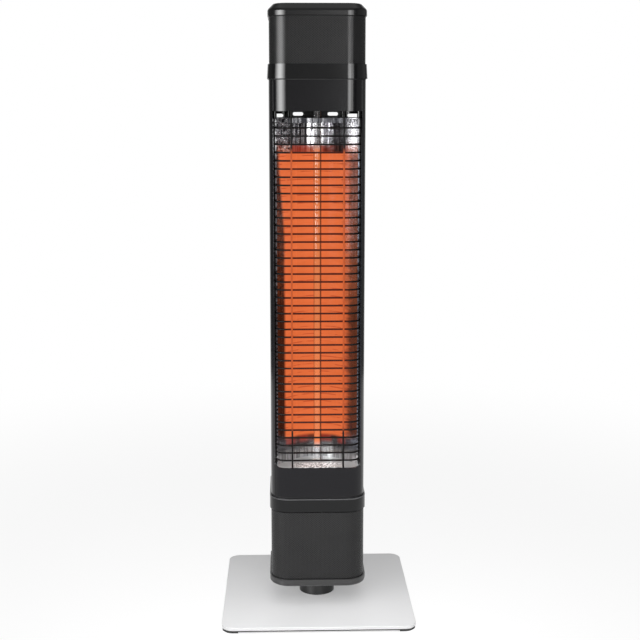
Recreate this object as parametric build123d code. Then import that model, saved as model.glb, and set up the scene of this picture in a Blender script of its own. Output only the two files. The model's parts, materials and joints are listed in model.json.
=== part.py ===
from build123d import *
import math
import os

# Infrared patio heater tower, in millimetres. +Z is up, the front faces -Y, and the origin is on the
# floor under the middle of the base plate.

# ---- base plate and neck
plate_side = 290.0
plate_thickness = 4.5
plate_corner = 18.0
plate_edge = 0.6  # broken edge round the plate's top
underlay_thickness = 2.0
underlay_inset = 1.0
underlay_hole = 62.0
foot_thickness = 2.0
foot_length = 24.0
collar_diameter = 55.0
collar_height = 31.5
collar_edge = 1.0
recess_diameter = 41.0  # room under the neck for the nut
recess_depth = 7.0  # above the plate's top
collar_screw_circle = 48.0
collar_screw_radius = 2.0
collar_screw_depth = 9.0  # length in the neck
countersink_radius = 4.0
countersink_depth = 2.2

# ---- swivel
washer_thickness = 1.5
washer_diameter = 50.0
spindle_radius = 12.0
bearing_clearance = 0.05
loose_clearance = 0.4
flange_diameter = 60.0
flange_thickness = 4.0
thread_radius = 8.0
nut_thickness = 6.0
nut_across_flats = 24.0
nut_lift = 1.0  # thread left under the nut
spring_washer_radius = 15.0
spring_washer_thickness = 1.2
spring_washer_height = 2.0
turn_limit = 40.0  # degrees each way
stop_pin_radius = 2.0
stop_pin_place = 18.5  # from the axis, towards the back
stop_pin_socket = 8.0
stop_pin_rise = 1.8  # above the cap's underside
stop_clearance = 0.3
flange_screw_circle = 52.0

# ---- column section, shared by everything above the neck
section_width = 142.0
section_corner = 28.0
fit_gap = 0.35  # between one sleeve or cap and the next

# ---- bottom cap and lower perforated sleeve
lower_cap_proud = 2.7  # beyond the column section, each side
lower_cap_height = 11.0
lower_cap_edge = 4.5
cap_floor = 3.5
cap_rib = 2.0
cap_rib_height = 5.0
lower_sleeve_proud = 0.15
lower_sleeve_height = 107.0  # in view, from the cap to the ring
sleeve_wall = 1.0

# ---- speaker chassis
chassis_wall = 2.5
chassis_window_margin = 14.0
chassis_window_corner = 8.0
chassis_flat_trim = 12.0
post_radius = 5.0
pilot_radius = 1.5
lower_speaker_radius = 41.0
lower_speaker_depth = 24.0
lower_magnet_radius = 22.0
lower_magnet_length = 14.0
upper_speaker_radius = 28.0
upper_speaker_depth = 17.0
upper_magnet_radius = 15.0
upper_magnet_length = 11.0
speaker_rim = 5.0
speaker_rim_thickness = 2.5
surround_roll = 2.2
cone_wall = 0.8
cone_neck_share = 0.36  # of the cone's rim
basket_wall = 1.5
basket_windows = 4

# ---- trim rings
lower_ring_proud = 2.25
lower_ring_height = 21.5
lower_ring_edge = 1.5
ring_lip = 0.8  # bevel of the lower ring's top edge
upper_ring_proud_low = 2.35
upper_ring_proud_high = 1.2
upper_ring_height = 21.0
ring_socket = 5.0  # how far a sleeve goes into a ring
ring_ledge = 2.5
ring_ledge_reach = 12.0  # inward from the column section

# ---- casing extrusion
casing_height = 628.3  # in view, between the two rings
shell_wall = 1.8
rail_set_in = 5.8  # from the column's side to the opening's edge
rail_wall = 1.8
rail_depth = 25.0  # from the column's front plane to the rail's back edge
port_radius = 3.4
port_wall_gap = 6.3  # from a screw port's centre to the wall's inner face
port_web = 2.4
side_port_place = 24.0  # in front of the middle
inner_vent_side = 43.9  # from the column's side to a slot's middle
outer_vent_side = 12.9
outer_vent_drop = 2.4
vent_length = 16.2
vent_height = 5.4
lower_vent_rise = 14.0  # above the lower end plate

# ---- fascias and window
lower_fascia_height = 48.2  # in view
upper_fascia_height = 46.3  # in view
fascia_wall = 2.2
fascia_gap = 0.4
fascia_rib = 1.6
fascia_rib_reach = 5.0
window_corner = 7.0
window_lip = 1.0
vent_gap = 10.0  # open height over the upper end plate
wall_punch = 12.0  # how deep a cutter reaches to be sure of going through a wall

# ---- reflector, shield and plates
sheet = 0.8
plate_sheet = 1.0
lower_plate_drop = 1.2  # below the lower fascia's top edge
plate_front_gap = 7.8  # from the column's front plane to the end plates' front edge
plate_lip = 7.0
plate_tab_height = 9.0
plate_tab_half = 20.0
focus = 20.0  # from the reflector's back to the tube's axis
reflector_side_gap = 5.2  # from the reflector's rim to the rail
reflector_arcs = 4  # arcs that make up its curve
reflector_flange = 6.4
shield_side_gap = 15.2  # from the shield to the rail
shield_depth = 42.0
shield_back_gap = 22.0  # from the reflector's back
bulkhead_gap = 0.5
bulkhead_sheet = 1.2
cutout_radius = 8.0
cutout_height = 8.0
cutout_ear_length = 32.0
cutout_drop = 60.0  # below the upper end plate

# ---- heating tube
tube_radius = 5.0
tube_bore = 4.0
filament_radius = 1.6
seal_length = 9.0
tube_hole_radius = 8.0
ceramic_radius = 8.2
ceramic_flange_radius = 11.0
ceramic_flange = 2.0
ceramic_length = 22.0
ceramic_base = 4.0
ceramic_clearance = 0.1
return_wire_radius = 0.6
return_wire_gap = 0.3
clip_width = 9.0
clip_sheet = 0.8
clip_foot = 6.0
clip_hole_radius = 2.4
lead_hole_radius = 1.2

# ---- wire guard
guard_pitch = 11.88
guard_first_rise = 10.8  # lowest wire, above the lower fascia's top edge
wire_radius = 0.9
upright_radius = 1.3
upright_half = 38.4
guard_weld = 0.3  # how deep crossing wires are welded into each other
guard_bend_radius = 16.0
guard_bend_steps = 3
guard_rail_gap = 0.5
upright_tuck = 6.0  # behind each fascia
wire_sides = 6

# ---- electrics
board_thickness = 1.6
board_side_gap = 7.2  # from the board to the casing's inside
board_height = 48.0
board_place = 8.0
board_corner_cut = 8.0
relay_width = 19.0
relay_depth = 15.5
relay_height = 20.0
relay_pitch = 24.0
relay_count = 3
relay_rise = 20.0
terminal_length = 40.0
terminal_depth = 9.0
terminal_height = 15.0
terminal_ways = 3
terminal_hole_radius = 2.4
tilt_size = 14.0
tilt_rise = 24.0
amplifier_half = 44.0
amplifier_height = 36.0
amplifier_place = 24.0
sink_fins = 5
sink_pitch = 5.0
sink_fin = 1.4
sink_width = 24.0
sink_depth = 10.0
sink_height = 18.0
sink_rise = 9.0

# ---- mains switch and cable gland, at the back
inlet_rise = 23.0  # above the lower ring
switch_place = 20.0
bezel_width = 30.0
bezel_height = 22.0
bezel_thickness = 2.0
bezel_corner = 3.0
switch_wall = 2.0
switch_rim = 1.5  # bezel beyond the body
switch_depth = 14.0
rocker_gap = 0.4
rocker_pivot_depth = 3.0
rocker_pivot_radius = 1.5
rocker_pin_length = 1.6
rocker_proud = 2.5
rocker_dip = 0.5
rocker_tilt = 8.0  # degrees each side of the middle
gland_place = -26.0
gland_bore = 3.8
gland_thread_radius = 8.0
gland_flange_radius = 11.0
gland_flange = 3.0
gland_dome_radius = 9.5
gland_dome_length = 12.0
gland_dome_bevel = 3.0
gland_inner_length = 9.0
gland_nut_thickness = 4.0

# ---- upper sleeve, top cap and keys
upper_sleeve_set_back = 0.7  # from the column section, each side
upper_sleeve_height = 68.2  # in view, from the ring to the cap
top_cap_proud = 1.15
top_cap_height = 17.5
top_shoulder = 8.8  # height and inset of the sloped shoulder
top_shoulder_round = 5.5
top_cap_lip = 5.5
top_wall = 3.0
panel_end = 6.0  # panel beyond the outer keys' places
panel_depth = 26.0
panel_corner = 6.0
panel_thickness = 1.6
panel_place = -18.0
panel_rest = 4.0
panel_gap = 0.1
key_count = 5
key_pitch = 16.0
key_width = 11.0
key_depth = 9.0
key_corner = 2.5
key_gap = 0.35
key_proud = 0.6
key_flange = 1.0
key_flange_thickness = 0.8
key_seat_gap = 0.1
key_travel = 0.8
key_stem_radius = 1.6
key_stem_length = 4.0
key_board_clearance = 0.2
dome_height = 1.2
dome_radius = 2.4
key_post_radius = 3.0

# ---- screws
screw_radius = 1.5
screw_head_across = 5.5
screw_head = 2.0
screw_length = 12.0
head_clearance = 0.3

# ---- heights worked out from the sizes above
plate_bottom = foot_thickness + underlay_thickness
plate_top = plate_bottom + plate_thickness
recess_top = plate_top + recess_depth
collar_top = plate_top + collar_height
cap_bottom = collar_top + washer_thickness
floor_top = cap_bottom + cap_floor
lower_cap_top = cap_bottom + lower_cap_height
lower_ring_bottom = lower_cap_top + lower_sleeve_height
lower_ledge_bottom = lower_ring_bottom + ring_socket
lower_ledge_top = lower_ledge_bottom + ring_ledge
lower_ring_top = lower_ring_bottom + lower_ring_height
upper_ring_bottom = lower_ring_top + casing_height
upper_ring_top = upper_ring_bottom + upper_ring_height
upper_ledge_top = upper_ring_top - ring_socket
upper_ledge_bottom = upper_ledge_top - ring_ledge
top_cap_bottom = upper_ring_top + upper_sleeve_height
top_cap_top = top_cap_bottom + top_cap_height
top_step = top_cap_bottom + top_cap_lip
window_bottom = lower_ring_top + lower_fascia_height
window_top = upper_ring_bottom - upper_fascia_height
lower_plate_top = window_bottom - lower_plate_drop
lower_plate_bottom = lower_plate_top - plate_sheet
upper_plate_top = window_top - vent_gap
upper_plate_bottom = upper_plate_top - plate_sheet
bulkhead_bottom = window_top + bulkhead_gap
bulkhead_top = bulkhead_bottom + bulkhead_sheet

# ---- widths worked out from the column's section
lower_cap_width = section_width + 2 * lower_cap_proud
lower_sleeve_width = section_width + 2 * lower_sleeve_proud
lower_ring_width = section_width + 2 * lower_ring_proud
upper_ring_width_low = section_width + 2 * upper_ring_proud_low
upper_ring_width_high = section_width + 2 * upper_ring_proud_high
upper_sleeve_width = section_width - 2 * upper_sleeve_set_back
top_cap_width = section_width + 2 * top_cap_proud

# ---- places worked out from the sizes above
half = section_width / 2
rail_half = half - rail_set_in
reflector_half = rail_half - reflector_side_gap
shield_half = rail_half - shield_side_gap
flat_half = half - section_corner
inner_half = half - shell_wall
board_half = inner_half - board_side_gap
port_reach = inner_half - port_wall_gap
rear_port_place = half - (inner_vent_side + outer_vent_side) / 2  # between two vent slots
ledge_opening = section_width - 2 * ring_ledge_reach
reflector_front = -(half - rail_depth)
rim_drop = reflector_half**2 / (4 * focus)
reflector_back = reflector_front + rim_drop
tube_place = reflector_back - focus
ceramic_seat = ceramic_length - ceramic_base
inlet_height = lower_ring_top + inlet_rise
upright_front = -(half - fascia_wall - upright_radius)
guard_front = upright_front + upright_radius + wire_radius - guard_weld
guard_side = rail_half - guard_rail_gap - upright_radius
guard_first = window_bottom + guard_first_rise
guard_wire_count = int((upper_plate_bottom - guard_first) / guard_pitch)
tube_low = lower_plate_bottom - ceramic_seat
tube_high = bulkhead_top + ceramic_seat
lower_chassis_width = lower_sleeve_width - 2 * sleeve_wall - 2 * fit_gap
upper_chassis_width = upper_sleeve_width - 2 * sleeve_wall - 2 * fit_gap

# ---- the keys' stack, from the top down
key_top = top_cap_top + key_proud
panel_bottom = top_cap_top - panel_thickness
flange_top = panel_bottom - key_seat_gap
flange_bottom = flange_top - key_flange_thickness
stem_bottom = flange_bottom - key_stem_length
key_board_top = stem_bottom - key_travel - key_board_clearance - dome_height
key_board_bottom = key_board_top - board_thickness
panel_width = key_count * key_pitch + 2 * panel_end
panel_hole_width = panel_width - 2 * panel_rest
panel_hole_depth = panel_depth - 2 * panel_rest


def section(width):
    """The column's outline at another width, its corners kept concentric."""
    return RectangleRounded(width, width, section_corner + (width - section_width) / 2)


def column(width, low, high):
    return Pos(0, 0, low) * extrude(section(width), high - low)


def tube(width, wall, low, high):
    return column(width, low, high) - column(width - 2 * wall, low, high)


def disc(radius, low, high, x=0.0, y=0.0):
    return Pos(x, y, low) * extrude(Circle(radius), high - low)


def ring(outer, inner, low, high, x=0.0, y=0.0):
    return Pos(x, y, low) * extrude(Circle(outer) - Circle(inner), high - low)


def block(x_low, x_high, y_low, y_high, z_low, z_high):
    outline = Rectangle(x_high - x_low, y_high - y_low, align=(Align.MIN, Align.MIN))
    return Pos(x_low, y_low, z_low) * extrude(outline, z_high - z_low)


def on_circle(diameter, count):
    """Places evenly round the axis, the first of them half a step on from +X."""
    for turn in range(count):
        angle = math.tau * (turn + 1 / 2) / count
        yield diameter / 2 * math.cos(angle), diameter / 2 * math.sin(angle)


def both_sides(shape):
    return [shape, mirror(shape, about=Plane.YZ)]


def loose(shapes):
    """Several separate solids as one piece."""
    return Compound([solid for shape in shapes for solid in shape.solids()])


def screw(length=screw_length):
    """A hex-headed screw standing on its head's bearing face, thread upwards."""
    head = Pos(0, 0, -screw_head) * extrude(
        RegularPolygon(screw_head_across / 2, 6, major_radius=False), screw_head
    )
    return head + disc(screw_radius, 0, length)


# ---------------------------------------------------------------- base


def base_plate():
    plate = Pos(0, 0, plate_bottom) * extrude(
        RectangleRounded(plate_side, plate_side, plate_corner), plate_thickness
    )
    plate = chamfer(plate.faces().sort_by(Axis.Z)[-1].outer_wire().edges(), plate_edge)
    plate -= disc(recess_diameter / 2, plate_bottom, plate_top)
    sink = Cone(countersink_radius, collar_screw_radius, countersink_depth)
    for x, y in on_circle(collar_screw_circle, 4):
        plate -= disc(collar_screw_radius, plate_bottom, plate_top, x, y)
        plate -= Pos(x, y, plate_bottom + countersink_depth / 2) * sink
    return plate


def base_underlay():
    side = plate_side - 2 * underlay_inset
    outline = RectangleRounded(side, side, plate_corner - underlay_inset)
    outline -= Circle(underlay_hole / 2)
    return Pos(0, 0, foot_thickness) * extrude(outline, underlay_thickness)


def base_feet():
    side = plate_side - 2 * underlay_inset
    outline = RectangleRounded(side, side, plate_corner - underlay_inset)
    near = side / 2 - foot_length / 2
    feet = []
    for x, y in ((near, near), (-near, near), (-near, -near), (near, -near)):
        corner = outline & (Pos(x, y) * Rectangle(foot_length, foot_length))
        feet.append(extrude(corner, foot_thickness))
    return Compound(feet)


def base_collar():
    neck = disc(collar_diameter / 2, plate_top, collar_top)
    neck = chamfer(neck.edges().filter_by(GeomType.CIRCLE).sort_by(Axis.Z)[-1], collar_edge)
    neck -= disc(recess_diameter / 2, plate_top, recess_top)
    neck -= disc(spindle_radius + bearing_clearance, recess_top, collar_top)
    neck -= disc(stop_pin_radius, collar_top - stop_pin_socket, collar_top, 0, stop_pin_place)
    for x, y in on_circle(collar_screw_circle, 4):
        neck -= disc(collar_screw_radius, plate_top, plate_top + collar_screw_depth, x, y)
    return neck


def collar_screws():
    screws = []
    head = Cone(countersink_radius, collar_screw_radius, countersink_depth)
    for x, y in on_circle(collar_screw_circle, 4):
        shank = disc(collar_screw_radius, plate_bottom, plate_top + collar_screw_depth, x, y)
        screws.append(shank + Pos(x, y, plate_bottom + countersink_depth / 2) * head)
    return loose(screws)


def thrust_washer():
    washer = ring(washer_diameter / 2, spindle_radius + loose_clearance, collar_top, cap_bottom)
    hole = stop_pin_radius + stop_clearance
    return washer - disc(hole, collar_top, cap_bottom, 0, stop_pin_place)


def stop_pin():
    low = collar_top - stop_pin_socket
    return disc(stop_pin_radius, low, cap_bottom + stop_pin_rise, 0, stop_pin_place)


# ---------------------------------------------------------------- swivel, on the column


def swivel_spindle():
    thread_bottom = recess_top - spring_washer_height - nut_thickness - nut_lift
    shaft = disc(spindle_radius, recess_top, floor_top)
    thread = disc(thread_radius, thread_bottom, recess_top)
    flange = disc(flange_diameter / 2, floor_top, floor_top + flange_thickness)
    spindle = shaft + thread + flange
    for x, y in on_circle(flange_screw_circle, 4):
        spindle -= disc(screw_radius, floor_top, floor_top + flange_thickness, x, y)
    return spindle


def swivel_spring_washer():
    """A slightly coned washer, drawn as half its section and turned about the axis."""
    low = recess_top - spring_washer_height
    inner = thread_radius + loose_clearance
    rise = spring_washer_height - spring_washer_thickness
    points = [
        (inner, low),
        (spring_washer_radius, low + rise),
        (spring_washer_radius, low + rise + spring_washer_thickness),
        (inner, low + spring_washer_thickness),
    ]
    half_section = make_face(Plane.XZ * Polyline(*points, close=True))
    return revolve(half_section, Axis.Z)


def swivel_nut():
    top = recess_top - spring_washer_height
    outline = RegularPolygon(nut_across_flats / 2, 6, major_radius=False) - Circle(thread_radius)
    return Pos(0, 0, top - nut_thickness) * extrude(outline, nut_thickness)


def spindle_screws():
    top = floor_top + flange_thickness
    turned = Rot(180, 0, 0) * screw(top - cap_bottom - stop_pin_rise)
    return loose(Pos(x, y, top) * turned for x, y in on_circle(flange_screw_circle, 4))


# ---------------------------------------------------------------- lower speaker section


def post_place(width):
    """Place of a chassis's corner posts, along X and along Y, from its outer width."""
    corner = section_corner + (width - section_width) / 2 - chassis_wall
    return flat_half + (corner - post_radius + chassis_wall / 2) / math.sqrt(2)


def corner_places(place):
    return [(place, place), (-place, place), (-place, -place), (place, -place)]


def stop_slot():
    """The curved slot that the stop pin runs in, a little longer than the turn."""
    reach = turn_limit + math.degrees(stop_clearance / stop_pin_place)
    path = CenterArc((0, 0), stop_pin_place, 90 - reach, 2 * reach)
    return SlotArc(path, 2 * (stop_pin_radius + stop_clearance))


def lower_cap():
    cap = column(lower_cap_width, cap_bottom, lower_cap_top)
    cap = fillet(cap.faces().sort_by(Axis.Z)[0].edges(), lower_cap_edge)
    pocket_width = lower_sleeve_width + 2 * fit_gap
    cap -= column(pocket_width, floor_top, lower_cap_top)
    rib_start = flange_diameter / 2 + fit_gap
    rib_top = floor_top + cap_rib_height
    rib = block(rib_start, flat_half, -cap_rib / 2, cap_rib / 2, floor_top, rib_top)
    for angle in (0, 90, 180, 270):
        cap += Rot(0, 0, angle) * rib
    cap -= disc(spindle_radius + bearing_clearance, cap_bottom, floor_top)
    cap -= Pos(0, 0, cap_bottom) * extrude(stop_slot(), cap_floor)
    for x, y in on_circle(flange_screw_circle, 4):
        cap -= disc(screw_radius, cap_bottom + stop_pin_rise, floor_top, x, y)
    head_room = screw_head_across / math.sqrt(3) + head_clearance
    for x, y in corner_places(post_place(lower_chassis_width)):
        cap -= disc(screw_radius, cap_bottom, floor_top, x, y)
        cap -= disc(head_room, cap_bottom, cap_bottom + screw_head, x, y)
    return cap


def outward(outline, length):
    """An outline drawn flat, stood up to face the back and given a length towards it."""
    return extrude(Rot(90, 0, 0) * outline, length, dir=(0, 1, 0))


def chassis(width, low, high, speaker_radius):
    """Inner frame of a speaker section: a tube with the speaker's hole in front and open sides and back."""
    frame = tube(width, chassis_wall, low, high)
    posts = corner_places(post_place(width))
    for x, y in posts:
        frame += disc(post_radius, low, high, x, y) & column(width, low, high)
    middle = (low + high) / 2
    frame -= Pos(0, -width / 2, middle) * outward(Circle(speaker_radius - speaker_rim), wall_punch)
    window_width = 2 * flat_half - chassis_flat_trim
    window_height = high - low - 2 * chassis_window_margin
    window = outward(RectangleRounded(window_width, window_height, chassis_window_corner), wall_punch)
    for angle in (0, 90, -90):
        frame -= Rot(0, 0, angle) * Pos(0, width / 2 - 2 * chassis_wall, middle) * window
    for x, y in posts:
        frame -= disc(pilot_radius, low, high, x, y)
    return frame


def lower_chassis():
    return chassis(lower_chassis_width, floor_top, lower_ledge_bottom, lower_speaker_radius)


def lower_mesh_sleeve():
    return tube(lower_sleeve_width, sleeve_wall, floor_top, lower_ledge_bottom)


def turned_on_front(half_section, chassis_width, height):
    """Turns a half section of radius and depth about the speaker's axis, behind the chassis's front wall."""
    return Pos(0, -(chassis_width / 2 - chassis_wall), height) * revolve(half_section, Axis.Y)


def speaker_basket(radius, depth, magnet_radius, chassis_width, height):
    """Pressed frame: flat rim, conical side with windows, and a flat back for the magnet."""
    hole = radius - speaker_rim
    points = [
        (hole, 0),
        (radius, 0),
        (radius, speaker_rim_thickness),
        (hole + basket_wall, speaker_rim_thickness),
        (magnet_radius, depth),
        (0, depth),
        (0, depth - basket_wall),
        (magnet_radius - basket_wall, depth - basket_wall),
        (hole, speaker_rim_thickness),
    ]
    basket = turned_on_front(make_face(Polyline(*points, close=True)), chassis_width, height)
    window_low = speaker_rim_thickness + basket_wall
    window_high = depth - 2 * basket_wall
    window = block(magnet_radius, radius, window_low, window_high, -magnet_radius / 2, magnet_radius / 2)
    place = Pos(0, -(chassis_width / 2 - chassis_wall), height)
    for step in range(basket_windows):
        basket -= place * Rot(0, 360 * (step + 1 / 2) / basket_windows, 0) * window
    return basket


def speaker_magnet(depth, magnet_radius, magnet_length, chassis_width, height):
    points = [
        (0, depth),
        (magnet_radius - basket_wall, depth),
        (magnet_radius - basket_wall, depth + basket_wall),
        (magnet_radius, depth + basket_wall),
        (magnet_radius, depth + magnet_length),
        (0, depth + magnet_length),
    ]
    return turned_on_front(make_face(Polyline(*points, close=True)), chassis_width, height)


def speaker_cone(radius, depth, chassis_width, height):
    """Paper cone with its dust cap; its neck stops short of the basket's back."""
    rim = radius - speaker_rim - 2 * surround_roll
    neck = rim * cone_neck_share
    back = depth - 3 * basket_wall
    dome_front = (0, back - cone_wall - neck / 2)
    dome_edge = (neck, back - 2 * cone_wall)
    points = [(rim, 0), (rim, cone_wall), (neck + cone_wall, back), (0, back), dome_front, dome_edge]
    return turned_on_front(make_face(Polyline(*points, close=True)), chassis_width, height)


def speaker_surround(radius, chassis_width, height):
    """Rubber roll between the rim and the cone, its half round drawn with three chords."""
    middle = radius - speaker_rim - surround_roll
    roll = RegularPolygon(surround_roll, 6) - RegularPolygon(surround_roll - cone_wall, 6)
    front_half = Rectangle(2 * surround_roll, surround_roll, align=(Align.CENTER, Align.MAX))
    return turned_on_front(Pos(middle, 0) * (roll & front_half), chassis_width, height)


# ---------------------------------------------------------------- rings and casing


def port_spots():
    """The four screw ports: the angle of the wall that each stands on, and its place along that wall."""
    return [(90, rear_port_place), (90, -rear_port_place), (0, -side_port_place), (180, side_port_place)]


def port_places():
    for angle, along in port_spots():
        turn = math.radians(angle)
        yield (
            port_reach * math.cos(turn) - along * math.sin(turn),
            port_reach * math.sin(turn) + along * math.cos(turn),
        )


def port_notches():
    """What a plate inside the casing leaves free round the screw ports."""
    width = 2 * (port_radius + loose_clearance)
    inner = port_reach - port_radius - loose_clearance
    outline = Pos((inner + half) / 2, 0) * Rectangle(half - inner, width)
    return [Rot(0, 0, angle) * Pos(0, along) * outline for angle, along in port_spots()]


def lower_ring():
    body = column(lower_ring_width, lower_ring_bottom, lower_ring_top)
    body = chamfer(body.faces().sort_by(Axis.Z)[0].edges(), lower_ring_edge)
    body = chamfer(body.faces().sort_by(Axis.Z)[-1].edges(), ring_lip)
    body -= column(lower_sleeve_width + 2 * fit_gap, lower_ring_bottom, lower_ledge_bottom)
    body -= column(ledge_opening, lower_ledge_bottom, lower_ledge_top)
    body -= column(section_width + 2 * fit_gap, lower_ledge_top, lower_ring_top)
    for x, y in port_places():
        body -= disc(screw_radius, lower_ledge_bottom, lower_ledge_top, x, y)
    return body


def upper_ring():
    low_outline = Pos(0, 0, upper_ring_bottom) * section(upper_ring_width_low)
    high_outline = Pos(0, 0, upper_ring_top) * section(upper_ring_width_high)
    body = loft([low_outline, high_outline], ruled=True)
    body -= column(section_width + 2 * fit_gap, upper_ring_bottom, upper_ledge_bottom)
    body -= column(ledge_opening, upper_ledge_bottom, upper_ledge_top)
    body -= column(upper_sleeve_width + 2 * fit_gap, upper_ledge_top, upper_ring_top)
    for x, y in port_places():
        body -= disc(screw_radius, upper_ledge_bottom, upper_ledge_top, x, y)
    return body


def case_screws():
    """Twelve alike: four up into the lower chassis, and four at each end of the casing."""
    screws = []
    for x, y in corner_places(post_place(lower_chassis_width)):
        screws.append(Pos(x, y, cap_bottom + screw_head) * screw())
    for x, y in port_places():
        screws.append(Pos(x, y, lower_ledge_bottom) * screw())
        screws.append(Pos(x, y, upper_ledge_top) * Rot(180, 0, 0) * screw())
    return loose(screws)


def shell_profile():
    """The casing's section: three closed sides, a rail each side of the opening and four screw ports."""
    full = section(section_width)
    profile = full - section(section_width - 2 * shell_wall)
    profile -= Pos(0, -half) * Rectangle(2 * rail_half, 2 * section_corner)
    rail = Pos(rail_half, -half) * Rectangle(rail_wall, rail_depth, align=(Align.MIN, Align.MIN))
    profile += rail & full
    profile += mirror(rail, about=Plane.YZ) & full
    web_length = half - shell_wall / 2 - port_reach
    web = Pos(port_reach, 0) * Rectangle(web_length, port_web, align=(Align.MIN, Align.CENTER))
    port = Pos(port_reach, 0) * Circle(port_radius) + web
    for angle, along in port_spots():
        profile += Rot(0, 0, angle) * Pos(0, along) * port
    for x, y in port_places():
        profile -= Pos(x, y) * Circle(screw_radius)
    return profile


def vent_row(height):
    """Rounded slots through the rear wall, two on each side of the tube, the outer ones lower."""
    slot = outward(SlotOverall(vent_length, vent_height), 2 * section_corner)
    inner = Pos(half - inner_vent_side, flat_half, height) * slot
    outer = Pos(half - outer_vent_side, flat_half, height - outer_vent_drop) * slot
    return both_sides(inner) + both_sides(outer)


def switch_body():
    """The room that the switch takes up in and behind the rear wall."""
    depth = switch_depth + shell_wall
    body = outward(Rectangle(bezel_width - 2 * switch_rim, bezel_height - 2 * switch_rim), depth)
    return Pos(switch_place, half - depth, inlet_height) * body


def main_shell():
    shell = Pos(0, 0, lower_ledge_top) * extrude(shell_profile(), upper_ledge_bottom - lower_ledge_top)
    shell -= vent_row((upper_plate_top + window_top) / 2)
    shell -= vent_row(lower_plate_top + lower_vent_rise)
    shell -= switch_body()
    gland_hole = outward(Circle(gland_thread_radius), wall_punch)
    return shell - Pos(gland_place, half - wall_punch / 2, inlet_height) * gland_hole


# ---------------------------------------------------------------- fascias


def fascia(low, high, rib_heights):
    """Front cover between the rails, on the column's own curve, with ribs behind."""
    reach = rail_half - fascia_gap
    front = Pos(0, -half) * Rectangle(2 * reach, 2 * (section_corner - fascia_wall))
    outer = section(section_width) & front
    hollow = section(section_width - 2 * fascia_wall)
    cover = Pos(0, 0, low) * extrude(outer - hollow, high - low)
    rib_front = Pos(0, -half) * Rectangle(2 * flat_half, 2 * (fascia_wall + fascia_rib_reach))
    for height in rib_heights:
        cover += Pos(0, 0, height) * extrude(section(section_width) & rib_front, fascia_rib)
    return cover


def lower_fascia():
    rib_heights = [lower_ledge_top + fascia_rib_reach, (lower_ring_top + window_bottom) / 2]
    cover = fascia(lower_ledge_top, window_bottom + window_corner, rib_heights)
    opening_half = rail_half - fascia_gap - window_lip
    opening = outward(RectangleRounded(2 * opening_half, 4 * window_corner, window_corner), section_corner)
    return cover - Pos(0, -half, window_bottom + 2 * window_corner) * opening


def upper_fascia():
    rib_heights = [(window_top + upper_ring_bottom) / 2, upper_ledge_bottom - fascia_rib_reach]
    return fascia(window_top, upper_ledge_bottom, rib_heights)


# ---------------------------------------------------------------- plates, reflector and shield


def cross_plate(low, thickness):
    """A sheet across the casing, clear of the walls, rails and screw ports, with the tube's hole."""
    outline = section(section_width - 2 * fascia_wall - 2 * fit_gap)
    outline -= Pos(0, -half) * Rectangle(section_width, 2 * plate_front_gap)
    rail_room = Rectangle(half, 2 * (rail_depth + loose_clearance), align=(Align.MIN, Align.CENTER))
    for side in both_sides(Pos(rail_half - loose_clearance, -half) * rail_room):
        outline -= side
    for notch in port_notches():
        outline -= notch
    outline -= Pos(0, tube_place) * Circle(tube_hole_radius)
    return Pos(0, 0, low) * extrude(outline, thickness)


def rear_tab(low, thickness):
    """Tab against the inside of the casing's rear wall."""
    high = low + plate_tab_height
    return block(-plate_tab_half, plate_tab_half, inner_half - thickness, inner_half, low, high)


def lower_end_plate():
    tab = rear_tab(lower_plate_top - plate_tab_height, plate_sheet)
    return cross_plate(lower_plate_bottom, plate_sheet) + tab


def upper_end_plate():
    """Closes the reflector; its front edge is turned down into a lip."""
    front = -(half - plate_front_gap)
    lip_bottom = upper_plate_top - plate_lip
    lip = block(-flat_half, flat_half, front, front + plate_sheet, lip_bottom, upper_plate_top)
    tab = rear_tab(upper_plate_top - plate_tab_height, plate_sheet)
    return cross_plate(upper_plate_bottom, plate_sheet) + tab + lip


def upper_bulkhead():
    """Sheet over the vent gap, its tab turned up."""
    return cross_plate(bulkhead_bottom, bulkhead_sheet) + rear_tab(bulkhead_bottom, bulkhead_sheet)


def trough(reach, back, depth):
    """Arcs through points of a parabola, from one rim to the other."""
    spots = [reach * (step / reflector_arcs - 1) for step in range(2 * reflector_arcs + 1)]
    points = [(x, back - depth * (x / reach) ** 2) for x in spots]
    return [ThreePointArc(*points[start : start + 3]).edge() for start in range(0, len(spots) - 1, 2)]


def reflector():
    """A bright trough whose section is a parabola about the tube, with a flange along each side."""
    rim_back = reflector_front + sheet
    outer_half = reflector_half + sheet
    edges = trough(reflector_half, reflector_back, rim_drop)
    edges += trough(outer_half, reflector_back + sheet, rim_drop)
    flange_half = reflector_half + reflector_flange
    for side in (-1, 1):
        start = (side * reflector_half, reflector_front)
        corner = (side * flange_half, reflector_front)
        back_corner = (side * flange_half, rim_back)
        end = (side * outer_half, rim_back)
        edges += Polyline(start, corner, back_corner, end).edges()
    height = upper_plate_bottom - lower_plate_top
    return Pos(0, 0, lower_plate_top) * extrude(make_face(edges), height)


def heat_shield():
    """A folded sheet channel behind the reflector, open to the front."""
    back = reflector_back + shield_back_gap
    top_middle = (Align.CENTER, Align.MAX)
    outline = Pos(0, back) * Rectangle(2 * shield_half, shield_depth, align=top_middle)
    hollow = Pos(0, back - sheet) * Rectangle(2 * (shield_half - sheet), shield_depth, align=top_middle)
    return Pos(0, 0, lower_plate_top) * extrude(outline - hollow, upper_plate_bottom - lower_plate_top)


def thermal_cutout():
    """Snap disc on the shield's back: a round body, a strip with two ears and two blades."""
    back = reflector_back + shield_back_gap
    cutout = outward(Circle(cutout_radius), cutout_height)
    cutout += outward(SlotOverall(cutout_ear_length, cutout_radius), plate_sheet)
    blade = outward(Rectangle(clip_sheet, cutout_radius / 2), 2 * cutout_height)
    for side in (-1, 1):
        cutout += Pos(side * cutout_radius / 2, 0, 0) * blade
    return Pos(0, back, upper_plate_bottom - cutout_drop) * cutout


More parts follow.
